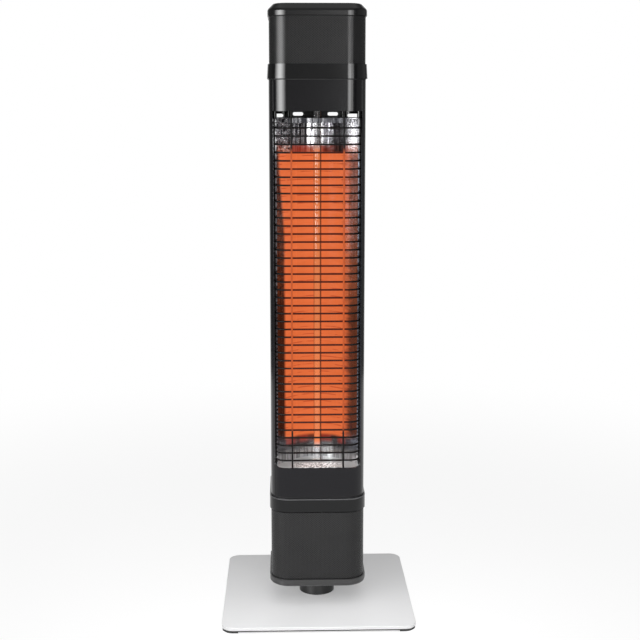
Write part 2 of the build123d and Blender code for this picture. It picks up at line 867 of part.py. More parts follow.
# ---------------------------------------------------------------- heating tube


def heating_tube():
    return ring(tube_radius, tube_bore, tube_low, tube_high, 0, tube_place)


def heating_filament():
    """Thin element with a plug at each end that fills the tube's bore."""
    element = disc(filament_radius, tube_low, tube_high, 0, tube_place)
    element += disc(tube_bore, tube_low, tube_low + seal_length, 0, tube_place)
    return element + disc(tube_bore, tube_high - seal_length, tube_high, 0, tube_place)


def ceramic_cap():
    """End cap standing on its flange, with a blind socket for the tube and a hole for the lead."""
    cap = disc(ceramic_radius, 0, ceramic_length) + disc(ceramic_flange_radius, 0, ceramic_flange)
    cap -= disc(tube_radius + ceramic_clearance, 0, ceramic_seat)
    return cap - disc(lead_hole_radius, ceramic_seat, ceramic_length)


def both_ends(shape):
    upper = Pos(0, tube_place, bulkhead_top) * shape
    lower = Pos(0, tube_place, lower_plate_bottom) * Rot(180, 0, 0) * shape
    return loose([upper, lower])


def tube_caps():
    return both_ends(ceramic_cap())


def tube_clip():
    """A strap over the ceramic cap, with a foot on the plate at each side."""
    inner = ceramic_flange_radius + ceramic_clearance
    outer = inner + clip_sheet
    top = ceramic_length + clip_sheet
    points = [
        (inner, 0),
        (outer + clip_foot, 0),
        (outer + clip_foot, clip_sheet),
        (outer, clip_sheet),
        (outer, top),
        (0, top),
        (0, ceramic_length),
        (inner, ceramic_length),
    ]
    profile = make_face(Plane.XZ * Polyline(*points, close=True))
    half_strap = Pos(0, -clip_width / 2, 0) * extrude(profile, clip_width, dir=(0, 1, 0))
    strap = half_strap + mirror(half_strap, about=Plane.YZ)
    return strap - disc(clip_hole_radius, ceramic_length, top)


def tube_clips():
    return both_ends(tube_clip())


def return_wire():
    place = tube_radius + return_wire_gap + return_wire_radius
    return disc(return_wire_radius, lower_plate_bottom, bulkhead_top, place, tube_place)


# ---------------------------------------------------------------- wire guard


def guard_path():
    """One guard wire seen from above: across the front and round a bend at each end."""
    bend_middle = guard_side - guard_bend_radius
    bend_front = guard_front + guard_bend_radius
    right_half = []
    for step in range(guard_bend_steps + 1):
        angle = math.radians(90.0 * step / guard_bend_steps)
        x = bend_middle + guard_bend_radius * math.sin(angle)
        y = bend_front - guard_bend_radius * math.cos(angle)
        right_half.append((x, y))
    left_half = [(-x, y) for x, y in reversed(right_half)]
    return Polyline(*left_half, *right_half)


def guard_wire():
    path = guard_path()
    profile = Plane(path @ 0, z_dir=path % 0) * Rot(0, 0, 90) * RegularPolygon(wire_radius, wire_sides)
    return sweep(profile, path=path, transition=Transition.RIGHT)


def upright(x, y, low, high):
    return Pos(x, y, low) * extrude(RegularPolygon(upright_radius, wire_sides), high - low)


def safety_grille():
    """The welded guard: cross wires on two uprights in front, their ends in one more at each side."""
    wire = guard_wire()
    rungs = [Pos(0, 0, guard_first + guard_pitch * place) * wire for place in range(guard_wire_count)]
    side_back = guard_front + guard_bend_radius
    uprights = []
    low = window_bottom - upright_tuck
    high = window_top + upright_tuck
    for side in (-1, 1):
        uprights.append(upright(side * upright_half, upright_front, low, high))
        uprights.append(upright(side * guard_side, side_back, lower_plate_top, upper_plate_bottom))
    return rungs[0].fuse(*rungs[1:], *uprights)


# ---------------------------------------------------------------- electrics


def control_board():
    """Circuit board standing on the ring's ledge, across the casing, its upper corners cut off."""
    top = lower_ledge_top + board_height
    back = board_place + board_thickness
    board = block(-board_half, board_half, board_place, back, lower_ledge_top, top)
    return chamfer(board.edges().filter_by(Axis.Y).group_by(Axis.Z)[-1], board_corner_cut)


def relays():
    front = board_place + board_thickness
    low = lower_ledge_top + relay_rise
    relay = block(-relay_width / 2, relay_width / 2, front, front + relay_depth, low, low + relay_height)
    first = -relay_pitch * (relay_count - 1) / 2
    return loose(Pos(first + relay_pitch * place, 0, 0) * relay for place in range(relay_count))


def tilt_switch():
    """Tip-over switch: a box with a round ball housing on top, on the control board's front."""
    low = lower_ledge_top + tilt_rise
    reach = tilt_size / 2
    box = block(-reach, reach, board_place - tilt_size, board_place, low, low + reach)
    ball_house = disc(reach, low, low + tilt_size, 0, board_place - reach)
    return Pos(-2 * tilt_size, 0, 0) * (box + ball_house)


def terminal_block():
    front = inner_half - terminal_depth
    top = lower_ledge_top + terminal_height
    body = block(-terminal_length / 2, terminal_length / 2, front, inner_half, lower_ledge_top, top)
    way = terminal_length / terminal_ways
    for place in range(terminal_ways):
        x = way * (place - (terminal_ways - 1) / 2)
        body -= disc(terminal_hole_radius, top - terminal_height / 2, top, x, front + terminal_depth / 2)
    return body


def amplifier_board():
    """Small board standing on the bulkhead, with a finned heat sink on its back."""
    back = amplifier_place + board_thickness
    top = bulkhead_top + amplifier_height
    board = block(-amplifier_half, amplifier_half, amplifier_place, back, bulkhead_top, top)
    low = bulkhead_top + sink_rise
    high = low + sink_height
    board += block(-sink_width / 2, sink_width / 2, back, back + sink_fin, low, high)
    first = -sink_pitch * (sink_fins - 1) / 2
    for place in range(sink_fins):
        x = first + sink_pitch * place
        board += block(x - sink_fin / 2, x + sink_fin / 2, back, back + sink_depth, low, high)
    return board


def power_switch_frame():
    """Bezel and body of the rocker switch, open outwards, with a pivot hole in each side wall."""
    bezel = outward(RectangleRounded(bezel_width, bezel_height, bezel_corner), bezel_thickness)
    frame = Pos(switch_place, half, inlet_height) * bezel + switch_body()
    cavity_width = bezel_width - 2 * switch_rim - 2 * switch_wall
    cavity_height = bezel_height - 2 * switch_rim - 2 * switch_wall
    cavity = outward(Rectangle(cavity_width, cavity_height), switch_depth + bezel_thickness)
    frame -= Pos(switch_place, half - switch_depth, inlet_height) * cavity
    pivot_length = cavity_width + 2 * rocker_pin_length + rocker_gap
    pivot = Rot(0, 90, 0) * Cylinder(rocker_pivot_radius + bearing_clearance, pivot_length)
    return frame - Pos(switch_place, half - rocker_pivot_depth, inlet_height) * pivot


def power_rocker():
    """Rocker with a dished face and a pin at each side, drawn level and then set to its off side."""
    width = bezel_width - 2 * switch_rim - 2 * switch_wall - 2 * rocker_gap
    reach = bezel_height / 2 - switch_rim - switch_wall - 3 * rocker_gap
    shoulder = reach + rocker_gap
    proud = bezel_thickness + rocker_pivot_depth + rocker_dip
    points = [
        (-reach, -rocker_pivot_depth),
        (-shoulder, rocker_pivot_radius),
        (-reach, proud),
        (0, proud - rocker_proud),
        (reach, proud),
        (shoulder, rocker_pivot_radius),
        (reach, -rocker_pivot_depth),
    ]
    outline = Polyline(*[(depth, height) for height, depth in points], close=True)
    body = Pos(-width / 2, 0, 0) * extrude(make_face(Plane.YZ * outline), width, dir=(1, 0, 0))
    pin_length = width + 2 * rocker_gap + 2 * rocker_pin_length
    body += Rot(0, 90, 0) * Cylinder(rocker_pivot_radius, pin_length)
    return Pos(switch_place, half - rocker_pivot_depth, inlet_height) * Rot(-rocker_tilt, 0, 0) * body


def cable_gland():
    """Gland body with its bevelled nose, and the lock nut that holds it inside the casing."""
    inner_end = -shell_wall - gland_inner_length
    nose = gland_flange + gland_dome_length
    points = [
        (gland_bore, inner_end),
        (gland_thread_radius, inner_end),
        (gland_thread_radius, 0),
        (gland_flange_radius, 0),
        (gland_flange_radius, gland_flange),
        (gland_dome_radius, gland_flange),
        (gland_dome_radius, nose - gland_dome_bevel),
        (gland_dome_radius - gland_dome_bevel, nose),
        (gland_bore, nose),
    ]
    body = revolve(make_face(Polyline(*points, close=True)), Axis.Y)
    nut_outline = RegularPolygon(gland_flange_radius, 6) - Circle(gland_thread_radius)
    nut = Pos(0, -shell_wall - gland_nut_thickness, 0) * outward(nut_outline, gland_nut_thickness)
    place = Pos(gland_place, half, inlet_height)
    return loose([place * body, place * nut])


# ---------------------------------------------------------------- upper speaker section and top


def upper_chassis():
    return chassis(upper_chassis_width, upper_ledge_top, top_step, upper_speaker_radius)


def upper_mesh_sleeve():
    return tube(upper_sleeve_width, sleeve_wall, upper_ledge_top, top_step)


def key_places():
    first = -key_pitch * (key_count - 1) / 2
    return [first + key_pitch * place for place in range(key_count)]


def key_post_places():
    x = panel_hole_width / 2 + key_post_radius
    return [(x, panel_place), (-x, panel_place)]


def top_cap():
    """Hollow lid with sloped shoulders, a sunk place for the key panel and two posts for the key board."""
    cap = column(top_cap_width, top_cap_bottom, top_cap_top)
    cap = chamfer(cap.faces().sort_by(Axis.Z)[-1].edges(), top_shoulder)
    slope = top_cap_top - top_shoulder
    rims = cap.edges().filter_by_position(Axis.Z, slope - fit_gap, top_cap_top)
    level_rims = [edge for edge in rims if edge.bounding_box().size.Z < fit_gap]
    cap = fillet(level_rims, top_shoulder_round)
    cap -= column(upper_sleeve_width + 2 * fit_gap, top_cap_bottom, top_step)
    cavity = top_cap_width - 2 * top_shoulder - top_wall
    cap -= column(cavity, top_step, top_cap_top - top_wall)
    for x, y in key_post_places():
        cap += disc(key_post_radius, key_board_bottom, top_cap_top - top_wall, x, y)
    seat = RectangleRounded(panel_width + 2 * panel_gap, panel_depth + 2 * panel_gap, panel_corner)
    through = RectangleRounded(panel_hole_width, panel_hole_depth, panel_corner - panel_rest / 2)
    cap -= Pos(0, panel_place, panel_bottom) * extrude(seat, panel_thickness)
    return cap - Pos(0, panel_place, top_cap_top - top_wall) * extrude(through, top_wall)


def control_panel():
    panel = RectangleRounded(panel_width, panel_depth, panel_corner)
    hole = RectangleRounded(key_width + 2 * key_gap, key_depth + 2 * key_gap, key_corner)
    for x in key_places():
        panel -= Pos(x, 0) * hole
    return Pos(0, panel_place, panel_bottom) * extrude(panel, panel_thickness)


def key(x):
    """Push key: a rounded cap through the panel, a flange that keeps it in, and a stem for the switch."""
    cap_outline = RectangleRounded(key_width, key_depth, key_corner)
    cap = Pos(0, 0, flange_top) * extrude(cap_outline, key_top - flange_top)
    cap = chamfer(cap.faces().sort_by(Axis.Z)[-1].edges(), key_proud / 2)
    flange_outline = RectangleRounded(key_width + 2 * key_flange, key_depth + 2 * key_flange, key_corner)
    flange = Pos(0, 0, flange_bottom) * extrude(flange_outline, key_flange_thickness)
    stem = disc(key_stem_radius, stem_bottom, flange_bottom)
    return Pos(x, panel_place, 0) * (cap + flange + stem)


def key_board():
    """Circuit board under the keys, thicker between the posts, with one switch dome for each key."""
    ear_half = panel_hole_width / 2 + 2 * key_post_radius
    riser_half = panel_hole_width / 2 - key_seat_gap
    front = panel_place - panel_hole_depth / 2
    back = panel_place + panel_hole_depth / 2
    board = block(-ear_half, ear_half, front, back, key_board_bottom - board_thickness, key_board_bottom)
    board += block(-riser_half, riser_half, front, back, key_board_bottom, key_board_top)
    for x in key_places():
        board += disc(dome_radius, key_board_top, key_board_top + dome_height, x, panel_place)
    return board


# ---------------------------------------------------------------- every piece, by name


lower_middle = (floor_top + lower_ledge_bottom) / 2
upper_middle = (upper_ledge_top + top_step) / 2
lower_front = (lower_chassis_width, lower_middle)
upper_front = (upper_chassis_width, upper_middle)
key_names = ["standby_key", "heat_key", "pairing_key", "volume_down_key", "volume_up_key"]

pieces = {
    "base_plate": base_plate(),
    "base_underlay": base_underlay(),
    "base_feet": base_feet(),
    "base_collar": base_collar(),
    "collar_screws": collar_screws(),
    "thrust_washer": thrust_washer(),
    "stop_pin": stop_pin(),
    "swivel_spindle": swivel_spindle(),
    "swivel_spring_washer": swivel_spring_washer(),
    "swivel_nut": swivel_nut(),
    "spindle_screws": spindle_screws(),
    "lower_cap": lower_cap(),
    "lower_chassis": lower_chassis(),
    "lower_mesh_sleeve": lower_mesh_sleeve(),
    "lower_speaker_basket": speaker_basket(
        lower_speaker_radius, lower_speaker_depth, lower_magnet_radius, *lower_front
    ),
    "lower_speaker_magnet": speaker_magnet(
        lower_speaker_depth, lower_magnet_radius, lower_magnet_length, *lower_front
    ),
    "lower_speaker_cone": speaker_cone(lower_speaker_radius, lower_speaker_depth, *lower_front),
    "lower_speaker_surround": speaker_surround(lower_speaker_radius, *lower_front),
    "lower_ring": lower_ring(),
    "case_screws": case_screws(),
    "main_shell": main_shell(),
    "lower_fascia": lower_fascia(),
    "upper_fascia": upper_fascia(),
    "lower_end_plate": lower_end_plate(),
    "upper_end_plate": upper_end_plate(),
    "upper_bulkhead": upper_bulkhead(),
    "reflector": reflector(),
    "heat_shield": heat_shield(),
    "thermal_cutout": thermal_cutout(),
    "heating_tube": heating_tube(),
    "heating_filament": heating_filament(),
    "tube_caps": tube_caps(),
    "tube_clips": tube_clips(),
    "return_wire": return_wire(),
    "safety_grille": safety_grille(),
    "control_board": control_board(),
    "relays": relays(),
    "tilt_switch": tilt_switch(),
    "terminal_block": terminal_block(),
    "amplifier_board": amplifier_board(),
    "power_switch_frame": power_switch_frame(),
    "power_rocker": power_rocker(),
    "cable_gland": cable_gland(),
    "upper_ring": upper_ring(),
    "upper_chassis": upper_chassis(),
    "upper_mesh_sleeve": upper_mesh_sleeve(),
    "upper_speaker_basket": speaker_basket(
        upper_speaker_radius, upper_speaker_depth, upper_magnet_radius, *upper_front
    ),
    "upper_speaker_magnet": speaker_magnet(
        upper_speaker_depth, upper_magnet_radius, upper_magnet_length, *upper_front
    ),
    "upper_speaker_cone": speaker_cone(upper_speaker_radius, upper_speaker_depth, *upper_front),
    "upper_speaker_surround": speaker_surround(upper_speaker_radius, *upper_front),
    "top_cap": top_cap(),
    "control_panel": control_panel(),
    "key_board": key_board(),
}
for key_name, place in zip(key_names, key_places()):
    pieces[key_name] = key(place)

os.makedirs("parts", exist_ok=True)
for name, shape in pieces.items():
    export_step(shape, os.path.join("parts", name + ".step"))
print(len(pieces), "sub-parts, total height", round(key_top, 2))
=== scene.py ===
import bpy
import json
import math
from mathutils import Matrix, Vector


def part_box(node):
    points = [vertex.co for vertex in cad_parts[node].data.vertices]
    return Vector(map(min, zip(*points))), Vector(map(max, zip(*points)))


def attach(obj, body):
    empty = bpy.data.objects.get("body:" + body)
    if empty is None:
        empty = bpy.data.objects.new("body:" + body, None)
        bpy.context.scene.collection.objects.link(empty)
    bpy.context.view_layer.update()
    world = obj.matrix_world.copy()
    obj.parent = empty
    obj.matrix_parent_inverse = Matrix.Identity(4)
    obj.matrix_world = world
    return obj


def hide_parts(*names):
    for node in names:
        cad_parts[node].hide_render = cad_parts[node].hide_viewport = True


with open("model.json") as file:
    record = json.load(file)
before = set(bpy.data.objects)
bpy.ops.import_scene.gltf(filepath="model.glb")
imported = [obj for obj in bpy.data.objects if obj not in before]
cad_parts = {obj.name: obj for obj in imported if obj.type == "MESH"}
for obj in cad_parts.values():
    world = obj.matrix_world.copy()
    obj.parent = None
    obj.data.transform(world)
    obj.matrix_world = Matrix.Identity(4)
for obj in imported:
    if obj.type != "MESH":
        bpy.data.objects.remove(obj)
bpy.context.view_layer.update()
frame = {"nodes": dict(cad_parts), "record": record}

# Infrared patio heater tower. The solids keep their places and get their finishes here, and the wire guard
# and the heating coil get finer meshes. Lengths are metres and the front faces -Y.
nodes = frame["nodes"]
slotOf = {part["node"]: part["material_slot"] for part in frame["record"]["subparts"]}
print("frame loaded:", len(nodes), "nodes")


def lowEnd(name):
    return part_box(name)[0]


def highEnd(name):
    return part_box(name)[1]


def fromEnds(z):
    # height over the reflector's foot and depth under its head, from which the heater's places are told
    return z - lowEnd("reflector").z, highEnd("reflector").z - z


def between(z, low, lowBlur, high, highBlur):
    # 1 from so far over the reflector's foot to so far under its head, each edge blurred both ways
    rise, drop = fromEnds(z)
    return rise.ramp(low - lowBlur, low + lowBlur) * drop.ramp(high - highBlur, high + highBlur)


# shading helpers

class Signal:
    # wraps one output socket, so that shader maths reads as arithmetic
    def __init__(self, board, socket):
        self.board = board
        self.socket = socket

    def run(self, operation, *others):
        return self.board.maths(operation, self, *others)

    def __add__(self, other):
        return self.run("ADD", other)

    __radd__ = __add__

    def __mul__(self, other):
        return self.run("MULTIPLY", other)

    __rmul__ = __mul__

    def __sub__(self, other):
        return self.run("SUBTRACT", other)

    def __rsub__(self, other):
        return self.board.maths("SUBTRACT", other, self)

    def __truediv__(self, other):
        return self.run("DIVIDE", other)

    def __rtruediv__(self, other):
        return self.board.maths("DIVIDE", other, self)

    def __pow__(self, other):
        return self.run("POWER", other)

    def __rpow__(self, other):
        return self.board.maths("POWER", other, self)

    def __abs__(self):
        return self.run("ABSOLUTE")

    def least(self, other):
        return self.run("MINIMUM", other)

    def most(self, other):
        return self.run("MAXIMUM", other)

    def fraction(self):
        return self.run("FRACT")

    def ramp(self, low, high):  # 0 at low, 1 at high, smooth between
        inputs = {"Value": self, "From Min": low, "From Max": high}
        return self.board.add("MapRange", {"interpolation_type": "SMOOTHSTEP"}, inputs)


class Board:
    # a node tree that things are added to
    def __init__(self, holder):
        self.holder = holder
        self.tree = holder.node_tree

    def add(self, kind, settings=None, inputs=None, output=0):
        node = self.tree.nodes.new("ShaderNode" + kind)
        for name, value in (settings or {}).items():
            setattr(node, name, value)
        for name, value in (inputs or {}).items():
            self.feed(node.inputs[name], value)
        return Signal(self, node.outputs[output])

    def feed(self, socket, value):
        if isinstance(value, Signal):
            self.tree.links.new(value.socket, socket)
        else:
            socket.default_value = value

    def maths(self, operation, *values):
        return self.add("Math", {"operation": operation}, dict(enumerate(values)))

    def split(self, vector):
        parts = self.add("SeparateXYZ", None, {"Vector": vector}).socket.node
        return [Signal(self, parts.outputs[axis]) for axis in range(3)]

    def place(self):  # the point in the object's own frame, as three signals
        return self.split(self.add("TexCoord", output="Object"))

    def point(self, stretch=(1, 1, 1)):
        inputs = {"Vector": self.add("TexCoord", output="Object"), "Scale": stretch}
        return self.add("Mapping", None, inputs)

    def noise(self, scale, detail=2.0, stretch=(1, 1, 1)):
        inputs = {"Vector": self.point(stretch), "Scale": scale, "Detail": detail}
        return self.add("TexNoise", None, inputs, "Fac")

    def blend(self, factor, low, high):  # colour mix, whose colour sockets are its seventh and eighth
        return self.add("Mix", {"data_type": "RGBA"}, {0: factor, 6: low, 7: high}, 2)

    def bump(self, height, distance, strength=1.0, normal=None):
        inputs = {"Height": height, "Distance": distance, "Strength": strength}
        if normal:
            inputs["Normal"] = normal
        return self.add("Bump", None, inputs)

    def rays(self, *kinds):  # 1 for any of these kinds of ray
        path = self.add("LightPath").socket.node
        found = Signal(self, path.outputs[f"Is {kinds[0]} Ray"])
        for kind in kinds[1:]:
            found = found.most(Signal(self, path.outputs[f"Is {kind} Ray"]))
        return found

    def paint(self, varying):  # what varies over the surface goes into the Principled shader
        shader = self.tree.nodes["Principled BSDF"]
        for socket, value in varying.items():
            self.feed(shader.inputs[socket], value)
        return self.holder

    def close(self, kind, surface):  # a cleared tree's own output node
        self.feed(self.tree.nodes.new("ShaderNode" + kind).inputs["Surface"], surface)


def rgb(red, green, blue):
    return (red, green, blue, 1.0)


def newFinish(name, fixed):
    # a board on a new material; fixed holds what is the same all over
    material = bpy.data.materials.new(name)
    material.use_nodes = True
    for socket, value in fixed.items():
        material.node_tree.nodes["Principled BSDF"].inputs[socket].default_value = value
    return Board(material)


def emptied(holder):
    # a board on a material or world whose nodes are cleared
    holder.use_nodes = True
    holder.node_tree.nodes.clear()
    return Board(holder)


# casing and trim

shadedGapEdge = (0.0004, 0.0011)  # painted shade in a gap is dark up to the first distance and gone at the second


def shadedGapAt(z, heights):
    # 1 in the thin gaps at these heights, where shade is painted, 0 elsewhere
    near = 1 - abs(z - heights[0]).ramp(*shadedGapEdge)
    for height in heights[1:]:
        near = near.most(1 - abs(z - height).ramp(*shadedGapEdge))
    return near


casingCoat = {
    "low": rgb(0.0028, 0.0026, 0.0038),
    "high": rgb(0.0046, 0.0043, 0.0058),
    "shine": 0.30,
    "roughness": 0.145,
    "roughnessSpread": 0.05,
    "cloudScale": 9.0,
    "peelScale": 420.0,
    "peelDepth": 0.00002,
    "paintedShadeGaps": (lowEnd("upper_ring").z - 0.0007, highEnd("lower_ring").z + 0.0021),  # heights of the painted shadow gaps beside the rings
    # painted shade: the gaps beside the rings are dark and rough
    "gapShadeColour": rgb(0.001, 0.001, 0.001),
    "gapRoughness": 0.7,
    # painted highlight along the upper fascia's side edges
    "paintedEdgeHighlight": rgb(0.16, 0.16, 0.165),
    "edgeHighlightWidth": 0.0005,
}


def casingBlack(name, edgeHighlightFrom=1.0):
    # smooth satin powder coat with a faint orange peel, and a painted highlight from this distance off the
    # middle to its edges
    board = newFinish(name, {"Specular IOR Level": casingCoat["shine"]})
    x, y, z = board.place()
    cloud = board.noise(casingCoat["cloudScale"], 4.0)
    peel = board.noise(casingCoat["peelScale"], 3.0)
    gap = shadedGapAt(z, casingCoat["paintedShadeGaps"])
    paintedEdgeHighlight = abs(x).ramp(edgeHighlightFrom, edgeHighlightFrom + casingCoat["edgeHighlightWidth"])
    coat = board.blend(cloud, casingCoat["low"], casingCoat["high"])
    coat = board.blend(paintedEdgeHighlight, coat, casingCoat["paintedEdgeHighlight"])
    wander = (cloud - 0.5) * casingCoat["roughnessSpread"]
    return board.paint({
        "Base Color": board.blend(gap, coat, casingCoat["gapShadeColour"]),
        "Roughness": casingCoat["roughness"] + wander + gap * casingCoat["gapRoughness"],
        "Normal": board.bump(peel, casingCoat["peelDepth"]),
    })


trimGrain = {
    "cloudScale": 14.0,
    "roughnessSpread": 0.06,
    "grainScale": 1500.0,
    "grainDepth": 0.000012,
    # painted highlight along the top edge of the lower ring
    "rimEdge": (0.0004, 0.0012),
    "rimHighlightColour": rgb(0.055, 0.055, 0.057),
    "mattWidth": 0.0008,
    "mattGain": 0.5,
}
trimCoat = {
    "low": rgb(0.0010, 0.0011, 0.0014),
    "high": rgb(0.0022, 0.0023, 0.0027),
    "shine": 0.36,
    "roughness": 0.13,
}
topCapCoat = {
    "low": rgb(0.0055, 0.0055, 0.0058),
    "high": rgb(0.0085, 0.0085, 0.0090),
    "shine": 0.34,
    "roughness": 0.20,
}
lowerCapCoat = {
    "low": rgb(0.031, 0.031, 0.0313),
    "high": rgb(0.040, 0.040, 0.0403),
    "shine": 0.42,
    "roughness": 0.28,
}


def moulded(name, coat, rim=None, mattFrom=None):
    # moulded trim with a fine spark-eroded grain; a pale line of painted highlight runs round it at the
    # height rim, and it is matt above mattFrom
    board = newFinish(name, {"Specular IOR Level": coat["shine"]})
    x, y, z = board.place()
    grain = board.noise(trimGrain["grainScale"], 2.0)
    cloud = board.noise(trimGrain["cloudScale"], 3.0)
    colour = board.blend(cloud, coat["low"], coat["high"])
    if rim:
        # painted highlight: a pale line at the given height
        colour = board.blend(1 - abs(z - rim).ramp(*trimGrain["rimEdge"]), colour, trimGrain["rimHighlightColour"])
    roughness = coat["roughness"] + (cloud - 0.5) * trimGrain["roughnessSpread"]
    if mattFrom:
        roughness = roughness + z.ramp(mattFrom, mattFrom + trimGrain["mattWidth"]) * trimGrain["mattGain"]
    return board.paint({
        "Base Color": colour,
        "Roughness": roughness,
        "Normal": board.bump(grain, trimGrain["grainDepth"]),
    })


# perforated sleeves

sheetHoles = {
    "flatHalf": 0.043,  # middle of a side to where its corner begins
    "cornerRadius": 0.0281,
    "holesPerQuarter": 33,
    "rowPitch": 0.0033,
    "holeRadius": 0.00085,
    "holeEdge": 0.0002,
    "hole": rgb(0.0004, 0.0004, 0.0004),
    "holeRoughness": 0.95,
    "shine": 0.25,
    "cloudScale": 30.0,
    "bumpStrength": 0.6,
}
lowerSheet = {
    "name": "meshBlack",
    "metal": rgb(0.020, 0.020, 0.0205),
    "worn": rgb(0.026, 0.026, 0.0265),
    "roughness": 0.25,
    "depth": 0.00025,
    "paintedShadeGaps": (highEnd("lower_cap").z + 0.0004, lowEnd("lower_ring").z - 0.0003),
}
upperSheet = {
    "name": "upperMeshBlack",
    "metal": rgb(0.017, 0.017, 0.0175),
    "worn": rgb(0.021, 0.021, 0.0215),
    "roughness": 0.16,
    "depth": 0.00010,
    "paintedShadeGaps": (lowEnd("top_cap").z - 0.0005,),
}


def aroundColumn(board):
    # distance round the column's outline and height, so that one pattern runs round the corners
    x, y, z = board.place()
    flat, corner = sheetHoles["flatHalf"], sheetHoles["cornerRadius"]
    nearX, nearY = abs(x).least(flat), abs(y).least(flat)
    overX, overY = (abs(x) - flat).most(0.0), (abs(y) - flat).most(0.0)
    turn = board.maths("ARCTAN2", overY, overX)
    return nearY + turn * corner + (flat - nearX), z


def perforated(sheet):
    # perforated sheet: staggered round holes, black coat
    board = newFinish(sheet["name"], {"Specular IOR Level": sheetHoles["shine"]})
    flat, corner, rise = sheetHoles["flatHalf"], sheetHoles["cornerRadius"], sheetHoles["rowPitch"]
    pitch = (2 * flat + corner * math.pi / 2) / sheetHoles["holesPerQuarter"]
    along, up = aroundColumn(board)
    distances = []
    for shift in (0.0, 0.5):
        across = ((along / pitch + shift).fraction() - 0.5) * pitch
        above = ((up / rise + shift).fraction() - 0.5) * rise
        distances.append((across * across + above * above) ** 0.5)
    nearest = distances[0].least(distances[1])
    radius, edge = sheetHoles["holeRadius"], sheetHoles["holeEdge"]
    # painted shade: in the gaps under the cap and beside the lower ring the sheet takes the holes' dark
    # colour
    solid = nearest.ramp(radius - edge, radius + edge) * (1 - shadedGapAt(up, sheet["paintedShadeGaps"]))
    cloud = board.noise(sheetHoles["cloudScale"], 3.0)
    metal = board.blend(cloud, sheet["metal"], sheet["worn"])
    smoother = sheetHoles["holeRoughness"] - sheet["roughness"]
    return board.paint({
        "Base Color": board.blend(solid, sheetHoles["hole"], metal),
        "Roughness": sheetHoles["holeRoughness"] - solid * smoother,
        "Normal": board.bump(solid, sheet["depth"], sheetHoles["bumpStrength"]),
    })


# wire guard's sizes and coat

grilleLow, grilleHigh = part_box("safety_grille")
guard = {
    "wireCount": 43,
    "pitch": 0.01188,
    "firstWire": highEnd("lower_end_plate").z + 0.0120,
    "wireRadius": 0.00136,
    "uprightRadius": 0.0013,
    "front": grilleLow.y + 0.00303,  # Y of the cross wires
    "side": grilleHigh.x - 0.0014,
    "bendRadius": 0.016,
    "bendSteps": 12,
    "uprightHalf": 0.0384,
    "uprightFront": grilleLow.y + 0.00113,
    "uprightEnds": (grilleLow.z, grilleHigh.z + 0.0015),  # behind the fascias
    "sideUprightEnds": (lowEnd("reflector").z, highEnd("reflector").z),
    "roundness": 3,  # the bevel's own resolution
}
guardPaint = {
    "low": rgb(0.002, 0.002, 0.002),
    "high": rgb(0.006, 0.005, 0.005),
    "shine": 0.10,
    "roughness": 0.40,
    "roughnessSpread": 0.2,
    "runScale": 220.0,
    "runDepth": 0.00004,
    # painted glow: the wires and the front uprights give off orange light of their own
    "wireGlow": rgb(0.060, 0.004, 0.0),
    "uprightGlow": rgb(0.56, 0.095, 0.018),
    "warmRise": (0.055, 0.067),  # the painted glow on the wires begins so far over the reflector's foot
    "warmDrop": (0.040, 0.052),  # and ends so far under its head
    "warmSides": (0.036, 0.052),
}


def guardCoat(name, glowColour):
    # coated wire with faint runs in the coat, and a painted orange glow that the coat gives off in front of
    # the tube
    board = newFinish(name, {"Specular IOR Level": guardPaint["shine"], "Emission Strength": 1.0})
    x, y, z = board.place()
    runs = board.noise(guardPaint["runScale"], 3.0, (0.3, 1, 1))
    rise, drop = fromEnds(z)
    warm = rise.ramp(*guardPaint["warmRise"]) * drop.ramp(*guardPaint["warmDrop"])
    warm = warm * (1 - abs(x).ramp(*guardPaint["warmSides"]))
    return board.paint({
        "Base Color": board.blend(runs, guardPaint["low"], guardPaint["high"]),
        "Roughness": guardPaint["roughness"] + runs * guardPaint["roughnessSpread"],
        "Emission Color": board.blend(warm, rgb(0, 0, 0), glowColour),
        "Normal": board.bump(runs, guardPaint["runDepth"]),
    })


# base plate

plateCoat = {
    "low": rgb(0.62, 0.62, 0.625),
    "high": rgb(0.69, 0.69, 0.695),
    "metallic": 0.15,
    "shine": 0.4,
    "roughness": 0.50,
    "roughnessSpread": 0.10,
    "cloudScale": 7.0,
    "flakeScale": 2600.0,
    "flakeShare": 0.35,
    "flakeDepth": 0.000015,
    "bumpStrength": 0.6,
}


def plateSilver():
    # silver powder coat: metal flake under a satin surface
    fixed = {"Metallic": plateCoat["metallic"], "Specular IOR Level": plateCoat["shine"]}
    board = newFinish("plateSilver", fixed)
    flake = board.noise(plateCoat["flakeScale"], 1.0)
    cloud = board.noise(plateCoat["cloudScale"], 3.0)
    shade = (flake - 0.5) * plateCoat["flakeShare"] + cloud
    return board.paint({
        "Base Color": board.blend(shade, plateCoat["low"], plateCoat["high"]),
        "Roughness": plateCoat["roughness"] + (cloud - 0.5) * plateCoat["roughnessSpread"],
        "Normal": board.bump(flake, plateCoat["flakeDepth"], plateCoat["bumpStrength"]),
    })


# plain stuffs, each with two close shades, roughness, the grain's scale and the grain's depth

